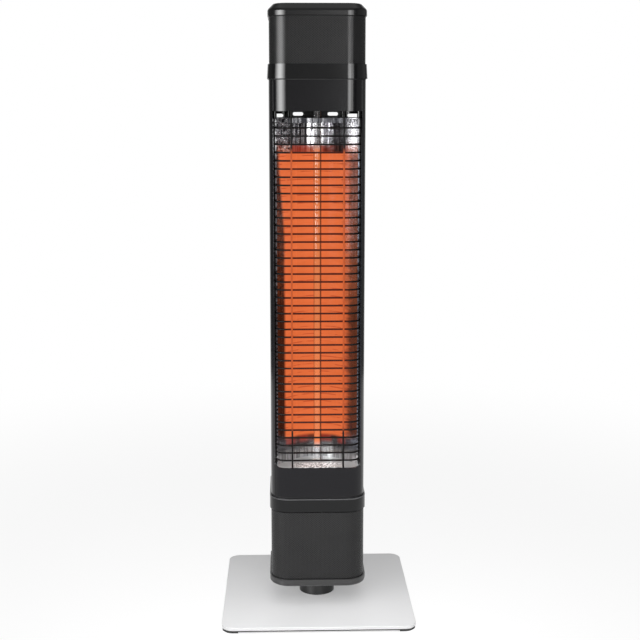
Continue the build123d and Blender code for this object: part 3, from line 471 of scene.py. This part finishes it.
plainStuffs = {
    "footRubber": (rgb(0.008, 0.008, 0.008), rgb(0.02, 0.02, 0.02), 0.75, 900.0, 0.00006),
    "underlayBlack": (rgb(0.008, 0.008, 0.008), rgb(0.014, 0.014, 0.014), 0.7, 1400.0, 0.00003),
    "neckBlack": (rgb(0.004, 0.004, 0.0042), rgb(0.008, 0.008, 0.0084), 0.30, 700.0, 0.00002),
    "chassisBlack": (rgb(0.012, 0.012, 0.012), rgb(0.02, 0.02, 0.02), 0.6, 800.0, 0.00005),
    "relayBlack": (rgb(0.012, 0.012, 0.014), rgb(0.022, 0.022, 0.024), 0.45, 900.0, 0.00002),
    "coneBlack": (rgb(0.012, 0.012, 0.012), rgb(0.03, 0.03, 0.03), 0.85, 1100.0, 0.00008),
    "surroundRubber": (rgb(0.008, 0.008, 0.008), rgb(0.015, 0.015, 0.015), 0.6, 600.0, 0.00003),
    "keyGrey": (rgb(0.030, 0.030, 0.032), rgb(0.042, 0.042, 0.045), 0.4, 1800.0, 0.00001),
    "panelBlack": (rgb(0.004, 0.004, 0.005), rgb(0.006, 0.006, 0.007), 0.42, 300.0, 0.000003),
    "steatite": (rgb(0.62, 0.59, 0.51), rgb(0.74, 0.71, 0.64), 0.62, 900.0, 0.00005),
    "terminalWhite": (rgb(0.64, 0.63, 0.58), rgb(0.70, 0.69, 0.65), 0.35, 500.0, 0.00002),
    "washerWhite": (rgb(0.68, 0.68, 0.65), rgb(0.76, 0.76, 0.74), 0.4, 700.0, 0.00001),
}
darkKind = {"shine": 0.5, "cloudShare": 1 / 20, "cloudDetail": 3.0, "roughnessSpread": 0.12}
paleKind = {"shine": 0.45, "cloudShare": 1 / 12, "cloudDetail": 4.0, "roughnessSpread": 0.15}


def plainStuff(name, kind):
    low, high, roughness, scale, depth = plainStuffs[name]
    board = newFinish(name, {"Specular IOR Level": kind["shine"]})
    cloud = board.noise(scale * kind["cloudShare"], kind["cloudDetail"])
    grain = board.noise(scale, 3.0)
    return board.paint({
        "Base Color": board.blend(cloud, low, high),
        "Roughness": roughness + (cloud - 0.5) * kind["roughnessSpread"],
        "Normal": board.bump(grain, depth),
    })


# drawn and plated metals, each with two shades, roughness and how its lines are stretched

drawnMetals = {
    "brightSteel": (rgb(0.45, 0.45, 0.45), rgb(0.66, 0.66, 0.65), 0.22, (1, 1, 0.08)),
    "shieldMetal": (rgb(0.40, 0.40, 0.39), rgb(0.55, 0.55, 0.54), 0.35, (1, 1, 0.05)),
    "magnetDark": (rgb(0.06, 0.06, 0.065), rgb(0.12, 0.12, 0.12), 0.5, (1, 1, 1)),
    "oxidised": (rgb(0.02, 0.012, 0.01), rgb(0.06, 0.03, 0.02), 0.5, (1, 1, 0.1)),
}
drawnLines = {"scale": 900.0, "cloudScale": 40.0, "share": 0.6, "roughnessGain": 0.14, "depth": 0.00001}


def drawnMetal(name):
    low, high, roughness, stretch = drawnMetals[name]
    board = newFinish(name, {"Metallic": 1.0})
    lines = board.noise(drawnLines["scale"], 3.0, stretch)
    cloud = board.noise(drawnLines["cloudScale"], 2.0)
    shade = lines * drawnLines["share"] + cloud * (1 - drawnLines["share"])
    return board.paint({
        "Base Color": board.blend(shade, low, high),
        "Roughness": roughness + lines * drawnLines["roughnessGain"],
        "Normal": board.bump(lines, drawnLines["depth"]),
    })


hammered = {
    "low": rgb(0.80, 0.80, 0.80),
    "high": rgb(0.90, 0.90, 0.905),
    "roughness": 0.11,
    "roughnessSpread": 0.08,
    "dimpleScale": 170.0,
    "dimpleDepth": 0.00045,
    "fineScale": 700.0,
    "fineDepth": 0.00002,
    "cloudScale": 25.0,
}


def brightAluminium():
    # polished sheet with a soft hammered pattern
    board = newFinish("brightAluminium", {"Metallic": 1.0})
    inputs = {"Vector": board.point((1, 1, 0.7)), "Scale": hammered["dimpleScale"], "Smoothness": 1.0}
    dimple = board.add("TexVoronoi", {"feature": "SMOOTH_F1"}, inputs, "Distance")
    fine = board.noise(hammered["fineScale"], 3.0, (1, 1, 0.2))
    cloud = board.noise(hammered["cloudScale"], 3.0)
    fineBump = board.bump(fine, hammered["fineDepth"])
    return board.paint({
        "Base Color": board.blend(cloud, hammered["low"], hammered["high"]),
        "Roughness": hammered["roughness"] + (fine - 0.5) * hammered["roughnessSpread"],
        "Normal": board.bump(dimple, hammered["dimpleDepth"], 1.0, fineBump),
    })


circuit = {
    "bare": rgb(0.012, 0.07, 0.03),
    "track": rgb(0.02, 0.12, 0.05),
    "tracksPerMetre": 400.0,
    "wanderScale": 60.0,
    "wander": 3.0,
    "trackEdge": (0.45, 0.55),
    "shine": 0.5,
    "lacquer": 0.4,
    "roughness": 0.30,
    "trackRoughness": 0.1,
    "trackDepth": 0.00003,
}


def circuitGreen():
    # lacquered board with faint tracks
    fixed = {"Specular IOR Level": circuit["shine"], "Coat Weight": circuit["lacquer"]}
    board = newFinish("circuitGreen", fixed)
    x, y, z = board.place()
    wander = board.noise(circuit["wanderScale"], 1.0) * circuit["wander"]
    track = (x * circuit["tracksPerMetre"] + wander).fraction().ramp(*circuit["trackEdge"])
    return board.paint({
        "Base Color": board.blend(track, circuit["bare"], circuit["track"]),
        "Roughness": circuit["roughness"] + track * circuit["trackRoughness"],
        "Normal": board.bump(track, circuit["trackDepth"]),
    })


# reflector and end plates

# painted reflections on the bare sheet: streaks and upright bands in its colour
polish = {
    "fineScale": 420.0,
    "fineStretch": (1, 1, 0.05),
    "fineEdge": (0.44, 0.62),
    "fineShare": 0.70,  # on the left, less by rightLoss on the right
    "rightLoss": 0.55,
    "lossBetween": (-0.010, 0.010),
    "reflectionBands": (
        (-0.0125, 0.0040, 1.0),  # middle, half width and brightness of each
        (-0.0035, 0.0040, 0.42),
        (0.0075, 0.0024, 0.55),
        (0.0520, 0.0110, 1.0),
    ),
    "bandCore": 0.4,  # share of the half width that is fully bright
    "bandWobble": 0.004,
}


def paintedReflectionStreaks(board, x):
    # fine drawn lines, and with them bright upright bands: both painted reflections of the studio in the
    # sheet's colour
    fine = board.noise(polish["fineScale"], 2.0, polish["fineStretch"])
    share = polish["fineShare"] - x.ramp(*polish["lossBetween"]) * polish["rightLoss"]
    reflectionStreaks = fine.ramp(*polish["fineEdge"]) * share
    wobble = (fine - 0.5) * polish["bandWobble"]
    for middle, half, brightness in polish["reflectionBands"]:
        band = 1 - abs(x + wobble - middle).ramp(half * polish["bandCore"], half)
        reflectionStreaks = reflectionStreaks.most(band * brightness)
    return fine, reflectionStreaks


mirror = {
    # painted glow and painted reflections: the sheet gives off this orange light itself, the wires'
    # reflections are dark lines in it
    "orange": rgb(0.64, 0.122, 0.030),
    "paleOrange": rgb(0.78, 0.170, 0.058),
    "line": rgb(0.36, 0.040, 0.012),
    "fringe": rgb(0.20, 0.022, 0.014),
    "warmSheet": rgb(0.10, 0.06, 0.055),
    "full": (0.0360, 0.003, 0.0505, 0.002),  # painted glowing part: over the foot, blur, under the head, blur
    "dim": (0.0250, 0.004, 0.0395, 0.003),  # the same of the dark red fringe round it
    "patchScale": 45.0,
    "patchEdge": (0.38, 0.60),
    "dimShare": 0.7,
    "leftEdge": -0.0488,
    "leftSlant": 0.0075,  # the edge leans out by this, over a stretch under the head
    "slantDrop": (0.052, 0.192),
    "leftBlur": 0.0025,
    "rightFade": (0.036, 0.053),
    "rightRagged": 0.012,
    "linePhase": 0.45,  # where the painted reflections of the wires lie, as a share of their pitch
    "lineEdge": (0.04, 0.11),
    "lineWhere": (0.46, 0.60),
    "lineShare": 0.6,
    "drawnScale": 90.0,
    "drawnDepth": 0.0002,
    "dentScale": 38.0,
    "dentDepth": 0.0006,
    "acrossScale": 70.0,
    "roughness": 0.10,
    "roughnessGain": 0.12,
}
# painted reflections of the studio on the sheet, from near black to white
sheetReflections = {
    "dark": rgb(0.050, 0.048, 0.054),
    "bright": rgb(0.95, 0.95, 0.97),
    "lowerDark": rgb(0.09, 0.09, 0.095),
    "lowerBright": rgb(0.95, 0.95, 0.96),
    "lowerOver": (0.0050, 0.0220),  # the painted bright reflection at the foot ends between these heights over it
    "lowerShare": 0.30,
    "lowerFine": 0.55,
    "lowerFineEdge": (0.40, 0.60),
    "lowerDrawn": 0.2,
    "upperFrom": (0.222, 0.272),
    "crumpleScale": 150.0,
    "crumpleEdge": (0.46, 0.56),
    "crumpleLeftOf": (-0.045, -0.028),
    "crumpleShare": 0.90,
    "crumpleGain": 0.10,
    "crumpleDrop": (0.014, 0.030),  # stronger further under the head than this
    # painted dull reflection beside the glow, bluer on the right
    "besideLeft": rgb(0.085, 0.075, 0.085),
    "besideRight": rgb(0.16, 0.17, 0.21),
    "besideTurn": (0.0, 0.04),
    "besideRise": (0.007, 0.042),
    "besideDrop": (0.032, 0.062),
    "besideShare": 0.85,
}


def glowOn(board, x, z, side, across):
    # painted glow that the sheet gives off itself: orange with painted dark reflections of the wires, inside
    # a red fringe
    full = between(z, *mirror["full"]) * side
    patches = board.noise(mirror["patchScale"], 1.0, (1, 1, 0.1)).ramp(*mirror["patchEdge"])
    dim = between(z, *mirror["dim"]) * side * patches
    phase = abs(((z - guard["firstWire"]) / guard["pitch"]).fraction() - mirror["linePhase"])
    line = (1 - phase.ramp(*mirror["lineEdge"])) * across.ramp(*mirror["lineWhere"])
    warm = board.blend(across, mirror["orange"], mirror["paleOrange"])
    warm = board.blend(line * mirror["lineShare"], warm, mirror["line"])
    fringe = board.blend(dim, rgb(0, 0, 0), mirror["fringe"])
    return full.most(dim * mirror["dimShare"]), board.blend(full, fringe, warm)


def paintedReflectionsOn(board, x, z, side, drawn):
    # painted reflections where the sheet doesn't glow: streaks and crumples above, a bright foot, dull beside
    # the glow
    rise, drop = fromEnds(z)
    fine, reflectionStreaks = paintedReflectionStreaks(board, x)
    crumple = board.noise(sheetReflections["crumpleScale"], 3.0, (1, 1, 1.4)).ramp(*sheetReflections["crumpleEdge"])
    crumple = crumple * (1 - x.ramp(*sheetReflections["crumpleLeftOf"]))
    share = sheetReflections["crumpleShare"] + drop.ramp(*sheetReflections["crumpleDrop"]) * sheetReflections["crumpleGain"]
    reflectionStreaks = reflectionStreaks.most(crumple * share)
    upper = board.blend(reflectionStreaks, sheetReflections["dark"], sheetReflections["bright"])
    worn = sheetReflections["lowerShare"] + fine.ramp(*sheetReflections["lowerFineEdge"]) * sheetReflections["lowerFine"]
    worn = (1 - rise.ramp(*sheetReflections["lowerOver"])) * worn + drawn * sheetReflections["lowerDrawn"]
    lower = board.blend(worn, sheetReflections["lowerDark"], sheetReflections["lowerBright"])
    sheet = board.blend(rise.ramp(*sheetReflections["upperFrom"]), lower, upper)
    beside = (1 - side) * rise.ramp(*sheetReflections["besideRise"]) * drop.ramp(*sheetReflections["besideDrop"])
    dull = board.blend(x.ramp(*sheetReflections["besideTurn"]), sheetReflections["besideLeft"], sheetReflections["besideRight"])
    return board.blend(beside * sheetReflections["besideShare"], sheet, dull)


def reflectorMirror():
    # rolled sheet behind the tube, with a painted glow given off over its hot part and painted reflections on
    # the rest
    board = newFinish("reflectorMirror", {"Metallic": 1.0, "Emission Strength": 1.0})
    x, y, z = board.place()
    drawn = board.noise(mirror["drawnScale"], 3.0, (1, 1, 0.03))
    dents = board.noise(mirror["dentScale"], 2.0, (1, 1, 0.5))
    across = board.noise(mirror["acrossScale"], 3.0, (0.25, 1, 3.0))
    rise, drop = fromEnds(z)
    left = mirror["leftEdge"] - (1 - drop.ramp(*mirror["slantDrop"])) * mirror["leftSlant"]
    ragged = x + (across - 0.5) * mirror["rightRagged"]
    side = (x - left).ramp(-mirror["leftBlur"], mirror["leftBlur"]) * (1 - ragged.ramp(*mirror["rightFade"]))
    warmed, glowing = glowOn(board, x, z, side, across)
    bare = paintedReflectionsOn(board, x, z, side, drawn)
    drawnBump = board.bump(drawn, mirror["drawnDepth"])
    return board.paint({
        "Base Color": board.blend(warmed, bare, mirror["warmSheet"]),
        "Emission Color": glowing,
        "Roughness": mirror["roughness"] + drawn * mirror["roughnessGain"],
        "Normal": board.bump(dents, mirror["dentDepth"], 1.0, drawnBump),
    })


upperPlate = {
    "dullLow": rgb(0.001, 0.001, 0.001),
    "dullHigh": rgb(0.006, 0.006, 0.007),
    # painted reflections on the front lip run between these two
    "lipReflectionDark": rgb(0.035, 0.035, 0.040),
    "lipReflectionBright": rgb(0.80, 0.80, 0.83),
    "streakShare": 0.45,
    "lipEdge": (0.0012, 0.0016),  # behind the plate's front
    "shine": 0.1,
    "roughness": 0.45,
    "lipSmoother": 0.25,
    "crumpleScale": 160.0,
    "crumpleDepth": 0.0003,
}


def upperEndPlate():
    # dark plate over the reflector; its polished front lip carries the reflector's painted reflection streaks
    # on
    board = newFinish("upperEndPlate", {"Specular IOR Level": upperPlate["shine"]})
    x, y, z = board.place()
    lip = 1 - (y - lowEnd("upper_end_plate").y).ramp(*upperPlate["lipEdge"])
    fine, reflectionStreaks = paintedReflectionStreaks(board, x)
    crumple = board.noise(upperPlate["crumpleScale"], 4.0)
    dull = board.blend(crumple, upperPlate["dullLow"], upperPlate["dullHigh"])
    shining = reflectionStreaks * upperPlate["streakShare"]
    # painted reflections on the lip
    polished = board.blend(shining, upperPlate["lipReflectionDark"], upperPlate["lipReflectionBright"])
    return board.paint({
        "Base Color": board.blend(lip, dull, polished),
        "Metallic": lip,
        "Roughness": upperPlate["roughness"] - lip * upperPlate["lipSmoother"],
        "Normal": board.bump(crumple, upperPlate["crumpleDepth"]),
    })


lowerPlate = {
    "low": rgb(0.22, 0.24, 0.245),
    "high": rgb(0.42, 0.45, 0.455),
    # painted highlights: bright flecks in the middle of the front
    "fleckDark": rgb(0.12, 0.13, 0.13),
    "fleckHighlight": rgb(0.92, 0.95, 0.95),
    "fleckScale": 420.0,
    "fleckEdge": (0.42, 0.56),
    "fleckHalf": (0.022, 0.048),  # the flecks fade out between these distances from the middle
    "fleckFront": (-0.042, -0.034),  # and between these places towards the back
    "metallic": 0.35,
    "shine": 0.3,
    "roughness": 0.34,
    "roughnessGain": 0.2,
    "crumpleScale": 160.0,
    "crumpleShare": 0.7,
    "crumpleDepth": 0.0004,
    "rolledScale": 500.0,
}


def lowerEndPlate():
    # dull rolled plate under the reflector, with crumpled flecks of painted highlight in the middle of its
    # front
    fixed = {"Metallic": lowerPlate["metallic"], "Specular IOR Level": lowerPlate["shine"]}
    board = newFinish("lowerEndPlate", fixed)
    x, y, z = board.place()
    crumple = board.noise(lowerPlate["crumpleScale"], 4.0)
    rolled = board.noise(lowerPlate["rolledScale"], 3.0, (0.08, 1, 1))
    shade = crumple * lowerPlate["crumpleShare"] + rolled * (1 - lowerPlate["crumpleShare"])
    plain = board.blend(shade, lowerPlate["low"], lowerPlate["high"])
    front = (1 - abs(x).ramp(*lowerPlate["fleckHalf"])) * (1 - y.ramp(*lowerPlate["fleckFront"]))
    fleck = board.noise(lowerPlate["fleckScale"], 2.0).ramp(*lowerPlate["fleckEdge"])
    highlightFlecks = board.blend(fleck, lowerPlate["fleckDark"], lowerPlate["fleckHighlight"])
    return board.paint({
        "Base Color": board.blend(front, plain, highlightFlecks),
        "Roughness": lowerPlate["roughness"] + crumple * lowerPlate["roughnessGain"],
        "Normal": board.bump(crumple, lowerPlate["crumpleDepth"]),
    })


# heating tube and its element

glow = {
    "hotRise": 0.0245,  # the element glows from so far over the reflector's foot
    "hotDrop": 0.0430,  # to so far under its head
    "fade": 0.008,
    "tube": rgb(1.0, 0.27, 0.085),
    "wire": rgb(1.0, 0.34, 0.11),
    "tubeStrength": 0.66,
    "wireStrength": 0.35,
}
glass = {
    "cold": rgb(0.75, 0.76, 0.78),
    "hot": rgb(0.12, 0.03, 0.015),
    "shine": 0.3,
    "roughness": 0.04,
    "roughnessGain": 0.05,
    "cloudScale": 120.0,
    "wall": (0.0036, 0.0047),  # painted shade: the glow is dimmer along both sides of the tube
    "wallShare": 0.85,
    "coldAlpha": 0.10,
    "hotAlphaGain": 0.82,
}
resistanceWire = {
    "low": rgb(0.35, 0.33, 0.32),
    "high": rgb(0.5, 0.48, 0.46),
    "metallic": 0.6,
    "roughness": 0.35,
    "roughnessGain": 0.15,
    "cloudScale": 300.0,
}


def hotZone(z):
    return between(z, glow["hotRise"], glow["fade"], glow["hotDrop"], glow["fade"])


def quartz():
    # clear tube that glows along its middle
    fixed = {"Emission Strength": glow["tubeStrength"], "Specular IOR Level": glass["shine"]}
    board = newFinish("quartz", fixed)
    x, y, z = board.place()
    hot = hotZone(z)
    cloud = board.noise(glass["cloudScale"], 2.0, (1, 1, 0.3))
    # painted shade along both sides
    core = 1 - abs(x).ramp(*glass["wall"]) * glass["wallShare"]
    return board.paint({
        "Base Color": board.blend(hot, glass["cold"], glass["hot"]),
        "Roughness": glass["roughness"] + cloud * glass["roughnessGain"],
        "Emission Color": board.blend(hot * core, rgb(0, 0, 0), glow["tube"]),
        "Alpha": glass["coldAlpha"] + hot * glass["hotAlphaGain"],
    })


def element():
    # the coiled wire inside the tube
    fixed = {"Emission Strength": glow["wireStrength"], "Metallic": resistanceWire["metallic"]}
    board = newFinish("element", fixed)
    x, y, z = board.place()
    cloud = board.noise(resistanceWire["cloudScale"], 2.0)
    return board.paint({
        "Base Color": board.blend(cloud, resistanceWire["low"], resistanceWire["high"]),
        "Roughness": resistanceWire["roughness"] + cloud * resistanceWire["roughnessGain"],
        "Emission Color": board.blend(hotZone(z), rgb(0, 0, 0), glow["wire"]),
    })


finishes = {
    "plate_silver": plateSilver(),
    "casing_black": casingBlack("casingBlack"),
    "mesh_black": perforated(lowerSheet),
    "guard_black": guardCoat("guardBlackPaintedGlow", guardPaint["wireGlow"]),
    "trim_black": moulded("trimBlack", trimCoat),
    "chassis_black": plainStuff("chassisBlack", darkKind),
    "panel_black": plainStuff("panelBlack", darkKind),
    "key_grey": plainStuff("keyGrey", darkKind),
    "foot_rubber": plainStuff("footRubber", darkKind),
    "underlay_black": plainStuff("underlayBlack", darkKind),
    "neck_black": plainStuff("neckBlack", darkKind),
    "bright_steel": drawnMetal("brightSteel"),
    "washer_white": plainStuff("washerWhite", paleKind),
    "bright_aluminium": brightAluminium(),
    "shield_metal": drawnMetal("shieldMetal"),
    "quartz": quartz(),
    "element": element(),
    "steatite": plainStuff("steatite", paleKind),
    "circuit_green": circuitGreen(),
    "relay_black": plainStuff("relayBlack", darkKind),
    "terminal_white": plainStuff("terminalWhite", paleKind),
    "cone_black": plainStuff("coneBlack", darkKind),
    "surround_rubber": plainStuff("surroundRubber", darkKind),
    "magnet_dark": drawnMetal("magnetDark"),
}
ownFinishes = {  # pieces that look unlike the rest of their slot
    "reflector": reflectorMirror(),
    "return_wire": drawnMetal("oxidised"),
    "top_cap": moulded("topCapBlack", topCapCoat, mattFrom=highEnd("top_cap").z - 0.0006),
    "lower_cap": moulded("lowerCapBlack", lowerCapCoat),
    "upper_mesh_sleeve": perforated(upperSheet),
    # the upper fascia gets a painted highlight along its side edges
    "upper_fascia": casingBlack("upperFasciaBlack", highEnd("upper_fascia").x - 0.0007),
    # the lower ring gets a painted highlight along its top edge
    "lower_ring": moulded("lowerRingBlack", trimCoat, rim=highEnd("lower_ring").z - 0.0007),
    "upper_end_plate": upperEndPlate(),
    "lower_end_plate": lowerEndPlate(),
}
for nodeName, node in nodes.items():
    for materialSlot in node.material_slots:
        materialSlot.material = ownFinishes.get(nodeName, finishes[slotOf[nodeName]])
print("finishes made:", len(finishes) + len(ownFinishes))


# wire guard, round where the solid one is six-sided

def addSpline(curve, points):
    spline = curve.splines.new("POLY")
    spline.points.add(len(points) - 1)
    for point, place in zip(spline.points, points):
        point.co = (*place, 1.0)


def roundWire(name, lines, radius):
    # one mesh with every line of a kind swept round
    curve = bpy.data.curves.new(name, "CURVE")
    curve.dimensions = "3D"
    curve.bevel_depth = radius
    curve.bevel_resolution = guard["roundness"]
    curve.use_fill_caps = True
    for points in lines:
        addSpline(curve, points)
    swept = bpy.data.objects.new(name + "Curve", curve)
    bpy.context.scene.collection.objects.link(swept)
    depsgraph = bpy.context.evaluated_depsgraph_get()
    mesh = bpy.data.meshes.new_from_object(swept.evaluated_get(depsgraph))
    bpy.data.objects.remove(swept)
    mesh.name = name
    for polygon in mesh.polygons:
        polygon.use_smooth = True
    piece = bpy.data.objects.new(name, mesh)
    bpy.context.scene.collection.objects.link(piece)
    return piece


def dress(piece, slotName, finish=None):
    piece.data.materials.clear()
    piece.data.materials.append(finish or finishes[slotName])


def crossWire(height):
    bend, steps = guard["bendRadius"], guard["bendSteps"]
    middle = guard["side"] - bend
    right = []
    for step in range(steps + 1):
        angle = math.pi / 2 * step / steps
        y = guard["front"] + bend - bend * math.cos(angle)
        right.append((middle + bend * math.sin(angle), y, height))
    left = [(-x, y, z) for x, y, z in reversed(right)]
    return left + right


def guardPieces():
    heights = [guard["firstWire"] + guard["pitch"] * place for place in range(guard["wireCount"])]
    wires = roundWire("guardCrossWires", [crossWire(height) for height in heights], guard["wireRadius"])
    sideY = guard["front"] + guard["bendRadius"]
    lines = []
    for side in (-1, 1):
        low, high = guard["uprightEnds"]
        x, y = side * guard["uprightHalf"], guard["uprightFront"]
        lines.append([(x, y, low), (x, y, high)])
        low, high = guard["sideUprightEnds"]
        lines.append([(side * guard["side"], sideY, low), (side * guard["side"], sideY, high)])
    uprights = roundWire("guardUprights", lines, guard["uprightRadius"])
    dress(wires, "guard_black")
    # the front uprights get a strong painted glow
    dress(uprights, "guard_black", guardCoat("guardUprightPaintedGlow", guardPaint["uprightGlow"]))
    for piece in (wires, uprights):
        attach(piece, "column")
    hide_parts("safety_grille")


guardPieces()
print("guard made")


# coiled element in the tube

coil = {"radius": 0.0026, "wire": 0.00045, "pitch": 0.0030, "stepsPerTurn": 14, "endGap": 0.001}


def heatingCoil():
    # coiled where it glows, straight in the cold ends
    low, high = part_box("heating_filament")
    middle = (low + high) / 2
    bottom, top = lowEnd("reflector").z + glow["hotRise"], highEnd("reflector").z - glow["hotDrop"]
    turns = round((top - bottom) / coil["pitch"])
    steps = turns * coil["stepsPerTurn"]
    points = [(middle.x, middle.y, low.z + coil["endGap"])]
    for step in range(steps + 1):
        angle = math.tau * step / coil["stepsPerTurn"]
        x = middle.x + coil["radius"] * math.cos(angle)
        y = middle.y + coil["radius"] * math.sin(angle)
        points.append((x, y, bottom + (top - bottom) * step / steps))
    points.append((middle.x, middle.y, high.z - coil["endGap"]))
    piece = roundWire("heatingCoil", [points], coil["wire"])
    dress(piece, "element")
    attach(piece, "column")
    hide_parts("heating_filament")


heatingCoil()
print("coil made")


# stage, light and camera

stage = {
    "floorRadius": 1.6,
    "floorSides": 96,
    "floorDrop": 0.0002,
    "floorColour": rgb(0.88, 0.88, 0.88),
    "shadowShare": 0.12,  # how much of the floor's own light and shadow is seen round the object
    "shadowFrom": 0.5,  # from here outwards the floor fades to white
    "plateEdge": 0.002,
}


def floorFinish():
    # pale floor: seen nearly white, with the object's shadow still on it, and dark under the plate
    board = emptied(bpy.data.materials.new("stageFloor"))
    x, y, z = board.place()
    away = ((x * x + y * y) ** 0.5).ramp(stage["shadowFrom"], stage["floorRadius"])
    half = highEnd("base_plate").x
    inner = half - stage["plateEdge"]
    under = (1 - abs(x).ramp(inner, half)) * (1 - abs(y).ramp(inner, half))
    ownShare = ((1 - away) * stage["shadowShare"]).most(under)
    white = board.add("Emission", None, {"Color": rgb(1, 1, 1), "Strength": 1.0})
    lit = board.add("BsdfDiffuse", None, {"Color": stage["floorColour"]})
    seen = board.rays("Camera", "Glossy", "Transmission")
    board.close("OutputMaterial", board.add("MixShader", None, {0: seen * (1 - ownShare), 1: lit, 2: white}))
    return board.holder


def floorDisc():
    count, radius = stage["floorSides"], stage["floorRadius"]
    ring = [math.tau * side / count for side in range(count)]
    points = [(radius * math.cos(turn), radius * math.sin(turn), -stage["floorDrop"]) for turn in ring]
    mesh = bpy.data.meshes.new("floorDisc")
    mesh.from_pydata(points, [], [list(range(count))])
    mesh.materials.append(floorFinish())
    disc = bpy.data.objects.new("floorDisc", mesh)
    bpy.context.scene.collection.objects.link(disc)


sky = {
    "diffuse": 0.27,
    "between": 0.14,  # what glossy surfaces see between the panels
    "panels": (
        (1, -0.60, -0.85, 0.50),  # front: axis, where it begins, where it is full, its strength
        (1, 0.75, 0.90, 0.75),  # back
        (0, -0.75, -0.92, 0.24),  # left
        (0, 0.75, 0.92, 0.45),  # right
        (2, 0.65, 0.85, 0.45),  # above
    ),
}


def studioWorld():
    # white to the eye, an even fill for matt surfaces, and soft panels of unlike strength for glossy ones
    world = bpy.data.worlds.new("studio")
    board = emptied(world)
    direction = board.split(board.add("TexCoord", output="Generated"))
    mirrored = sky["between"]
    for axis, begin, full, strength in sky["panels"]:
        mirrored = mirrored + direction[axis].ramp(begin, full) * (strength - sky["between"])
    seen = board.rays("Camera", "Transmission")
    shiny = board.rays("Glossy")
    strength = seen + (1 - seen) * (shiny * mirrored + (1 - shiny) * sky["diffuse"])
    board.close("OutputWorld", board.add("Background", None, {"Color": rgb(1, 1, 1), "Strength": strength}))
    bpy.context.scene.world = world


softboxes = {
    "keyLeft": {"place": (-1.22, -1.22, 0.97), "aim": (0, 0, 0.80), "size": (1.5, 1.25), "radiance": 1.3},
    "fillRight": {"place": (0.86, -2.03, 0.97), "aim": (0, 0, 0.80), "size": (1.1, 1.25), "radiance": 1.0},
    "wideLeft": {"place": (-1.24, -1.24, 0.77), "aim": (0, 0, 0.77), "size": (1.9, 0.86), "radiance": 5.0},
    "middleLeft": {"place": (-1.23, -1.23, 0.77), "aim": (0, 0, 0.77), "size": (1.2, 0.86), "radiance": 7.0},
    "narrowLeft": {"place": (-1.22, -1.22, 0.77), "aim": (0, 0, 0.77), "size": (0.6, 0.86), "radiance": 7.0},
    "wideRight": {"place": (0.80, -2.12, 0.77), "aim": (0, 0, 0.77), "size": (1.2, 0.86), "radiance": 4.5},
    "narrowRight": {"place": (0.62, -2.16, 0.77), "aim": (0, 0, 0.77), "size": (0.5, 0.86), "radiance": 6.0},
    "overhead": {"place": (0.0, -0.3, 2.4), "aim": (0, 0, 0), "size": (1.8, 1.8), "radiance": 0.4},
    "lowFront": {"place": (0.0, -0.75, 0.62), "aim": (0, -0.12, 0), "size": (0.5, 0.25), "radiance": 4.0},
    "plateFill": {"place": (0.0, -0.25, 0.45), "aim": (0, -0.25, 0), "size": (0.7, 0.2), "radiance": 6.2},
}
unseenInGloss = ("lowFront", "plateFill")
onlyInGloss = ("wideLeft", "middleLeft", "narrowLeft", "wideRight", "narrowRight")  # make highlights alone
withoutShadow = ("plateFill",)


def studioLights():
    for name, box in softboxes.items():
        width, height = box["size"]
        lamp = bpy.data.lights.new(name, "AREA")
        lamp.shape = "RECTANGLE"
        lamp.size = width
        lamp.size_y = height
        lamp.energy = box["radiance"] * math.pi * width * height
        lamp.use_shadow = name not in withoutShadow
        holder = bpy.data.objects.new(name, lamp)
        holder.location = box["place"]
        holder.visible_glossy = name not in unseenInGloss
        holder.visible_diffuse = name not in onlyInGloss
        toward = Vector(box["aim"]) - Vector(box["place"])
        holder.rotation_euler = toward.to_track_quat("-Z", "Y").to_euler()
        bpy.context.scene.collection.objects.link(holder)


eye = {
    "place": (-0.04675, -1.8039, 0.7722),
    "pitchDown": 9.07,  # degrees
    "yaw": 1.65,  # degrees, to the right
    "lens": 66.86,  # millimetres, on a sensor this wide
    "sensor": 36.0,
    "shiftY": -0.04,
}


def photoCamera():
    view = bpy.data.cameras.new("photoCamera")
    view.lens = eye["lens"]
    view.sensor_width = eye["sensor"]
    view.shift_y = eye["shiftY"]
    holder = bpy.data.objects.new("photoCamera", view)
    holder.location = eye["place"]
    holder.rotation_euler = (math.radians(90 - eye["pitchDown"]), 0, -math.radians(eye["yaw"]))
    bpy.context.scene.collection.objects.link(holder)
    bpy.context.scene.camera = holder


floorDisc()
studioWorld()
studioLights()
photoCamera()
bpy.context.scene.view_settings.view_transform = "Standard"
print("stage set")
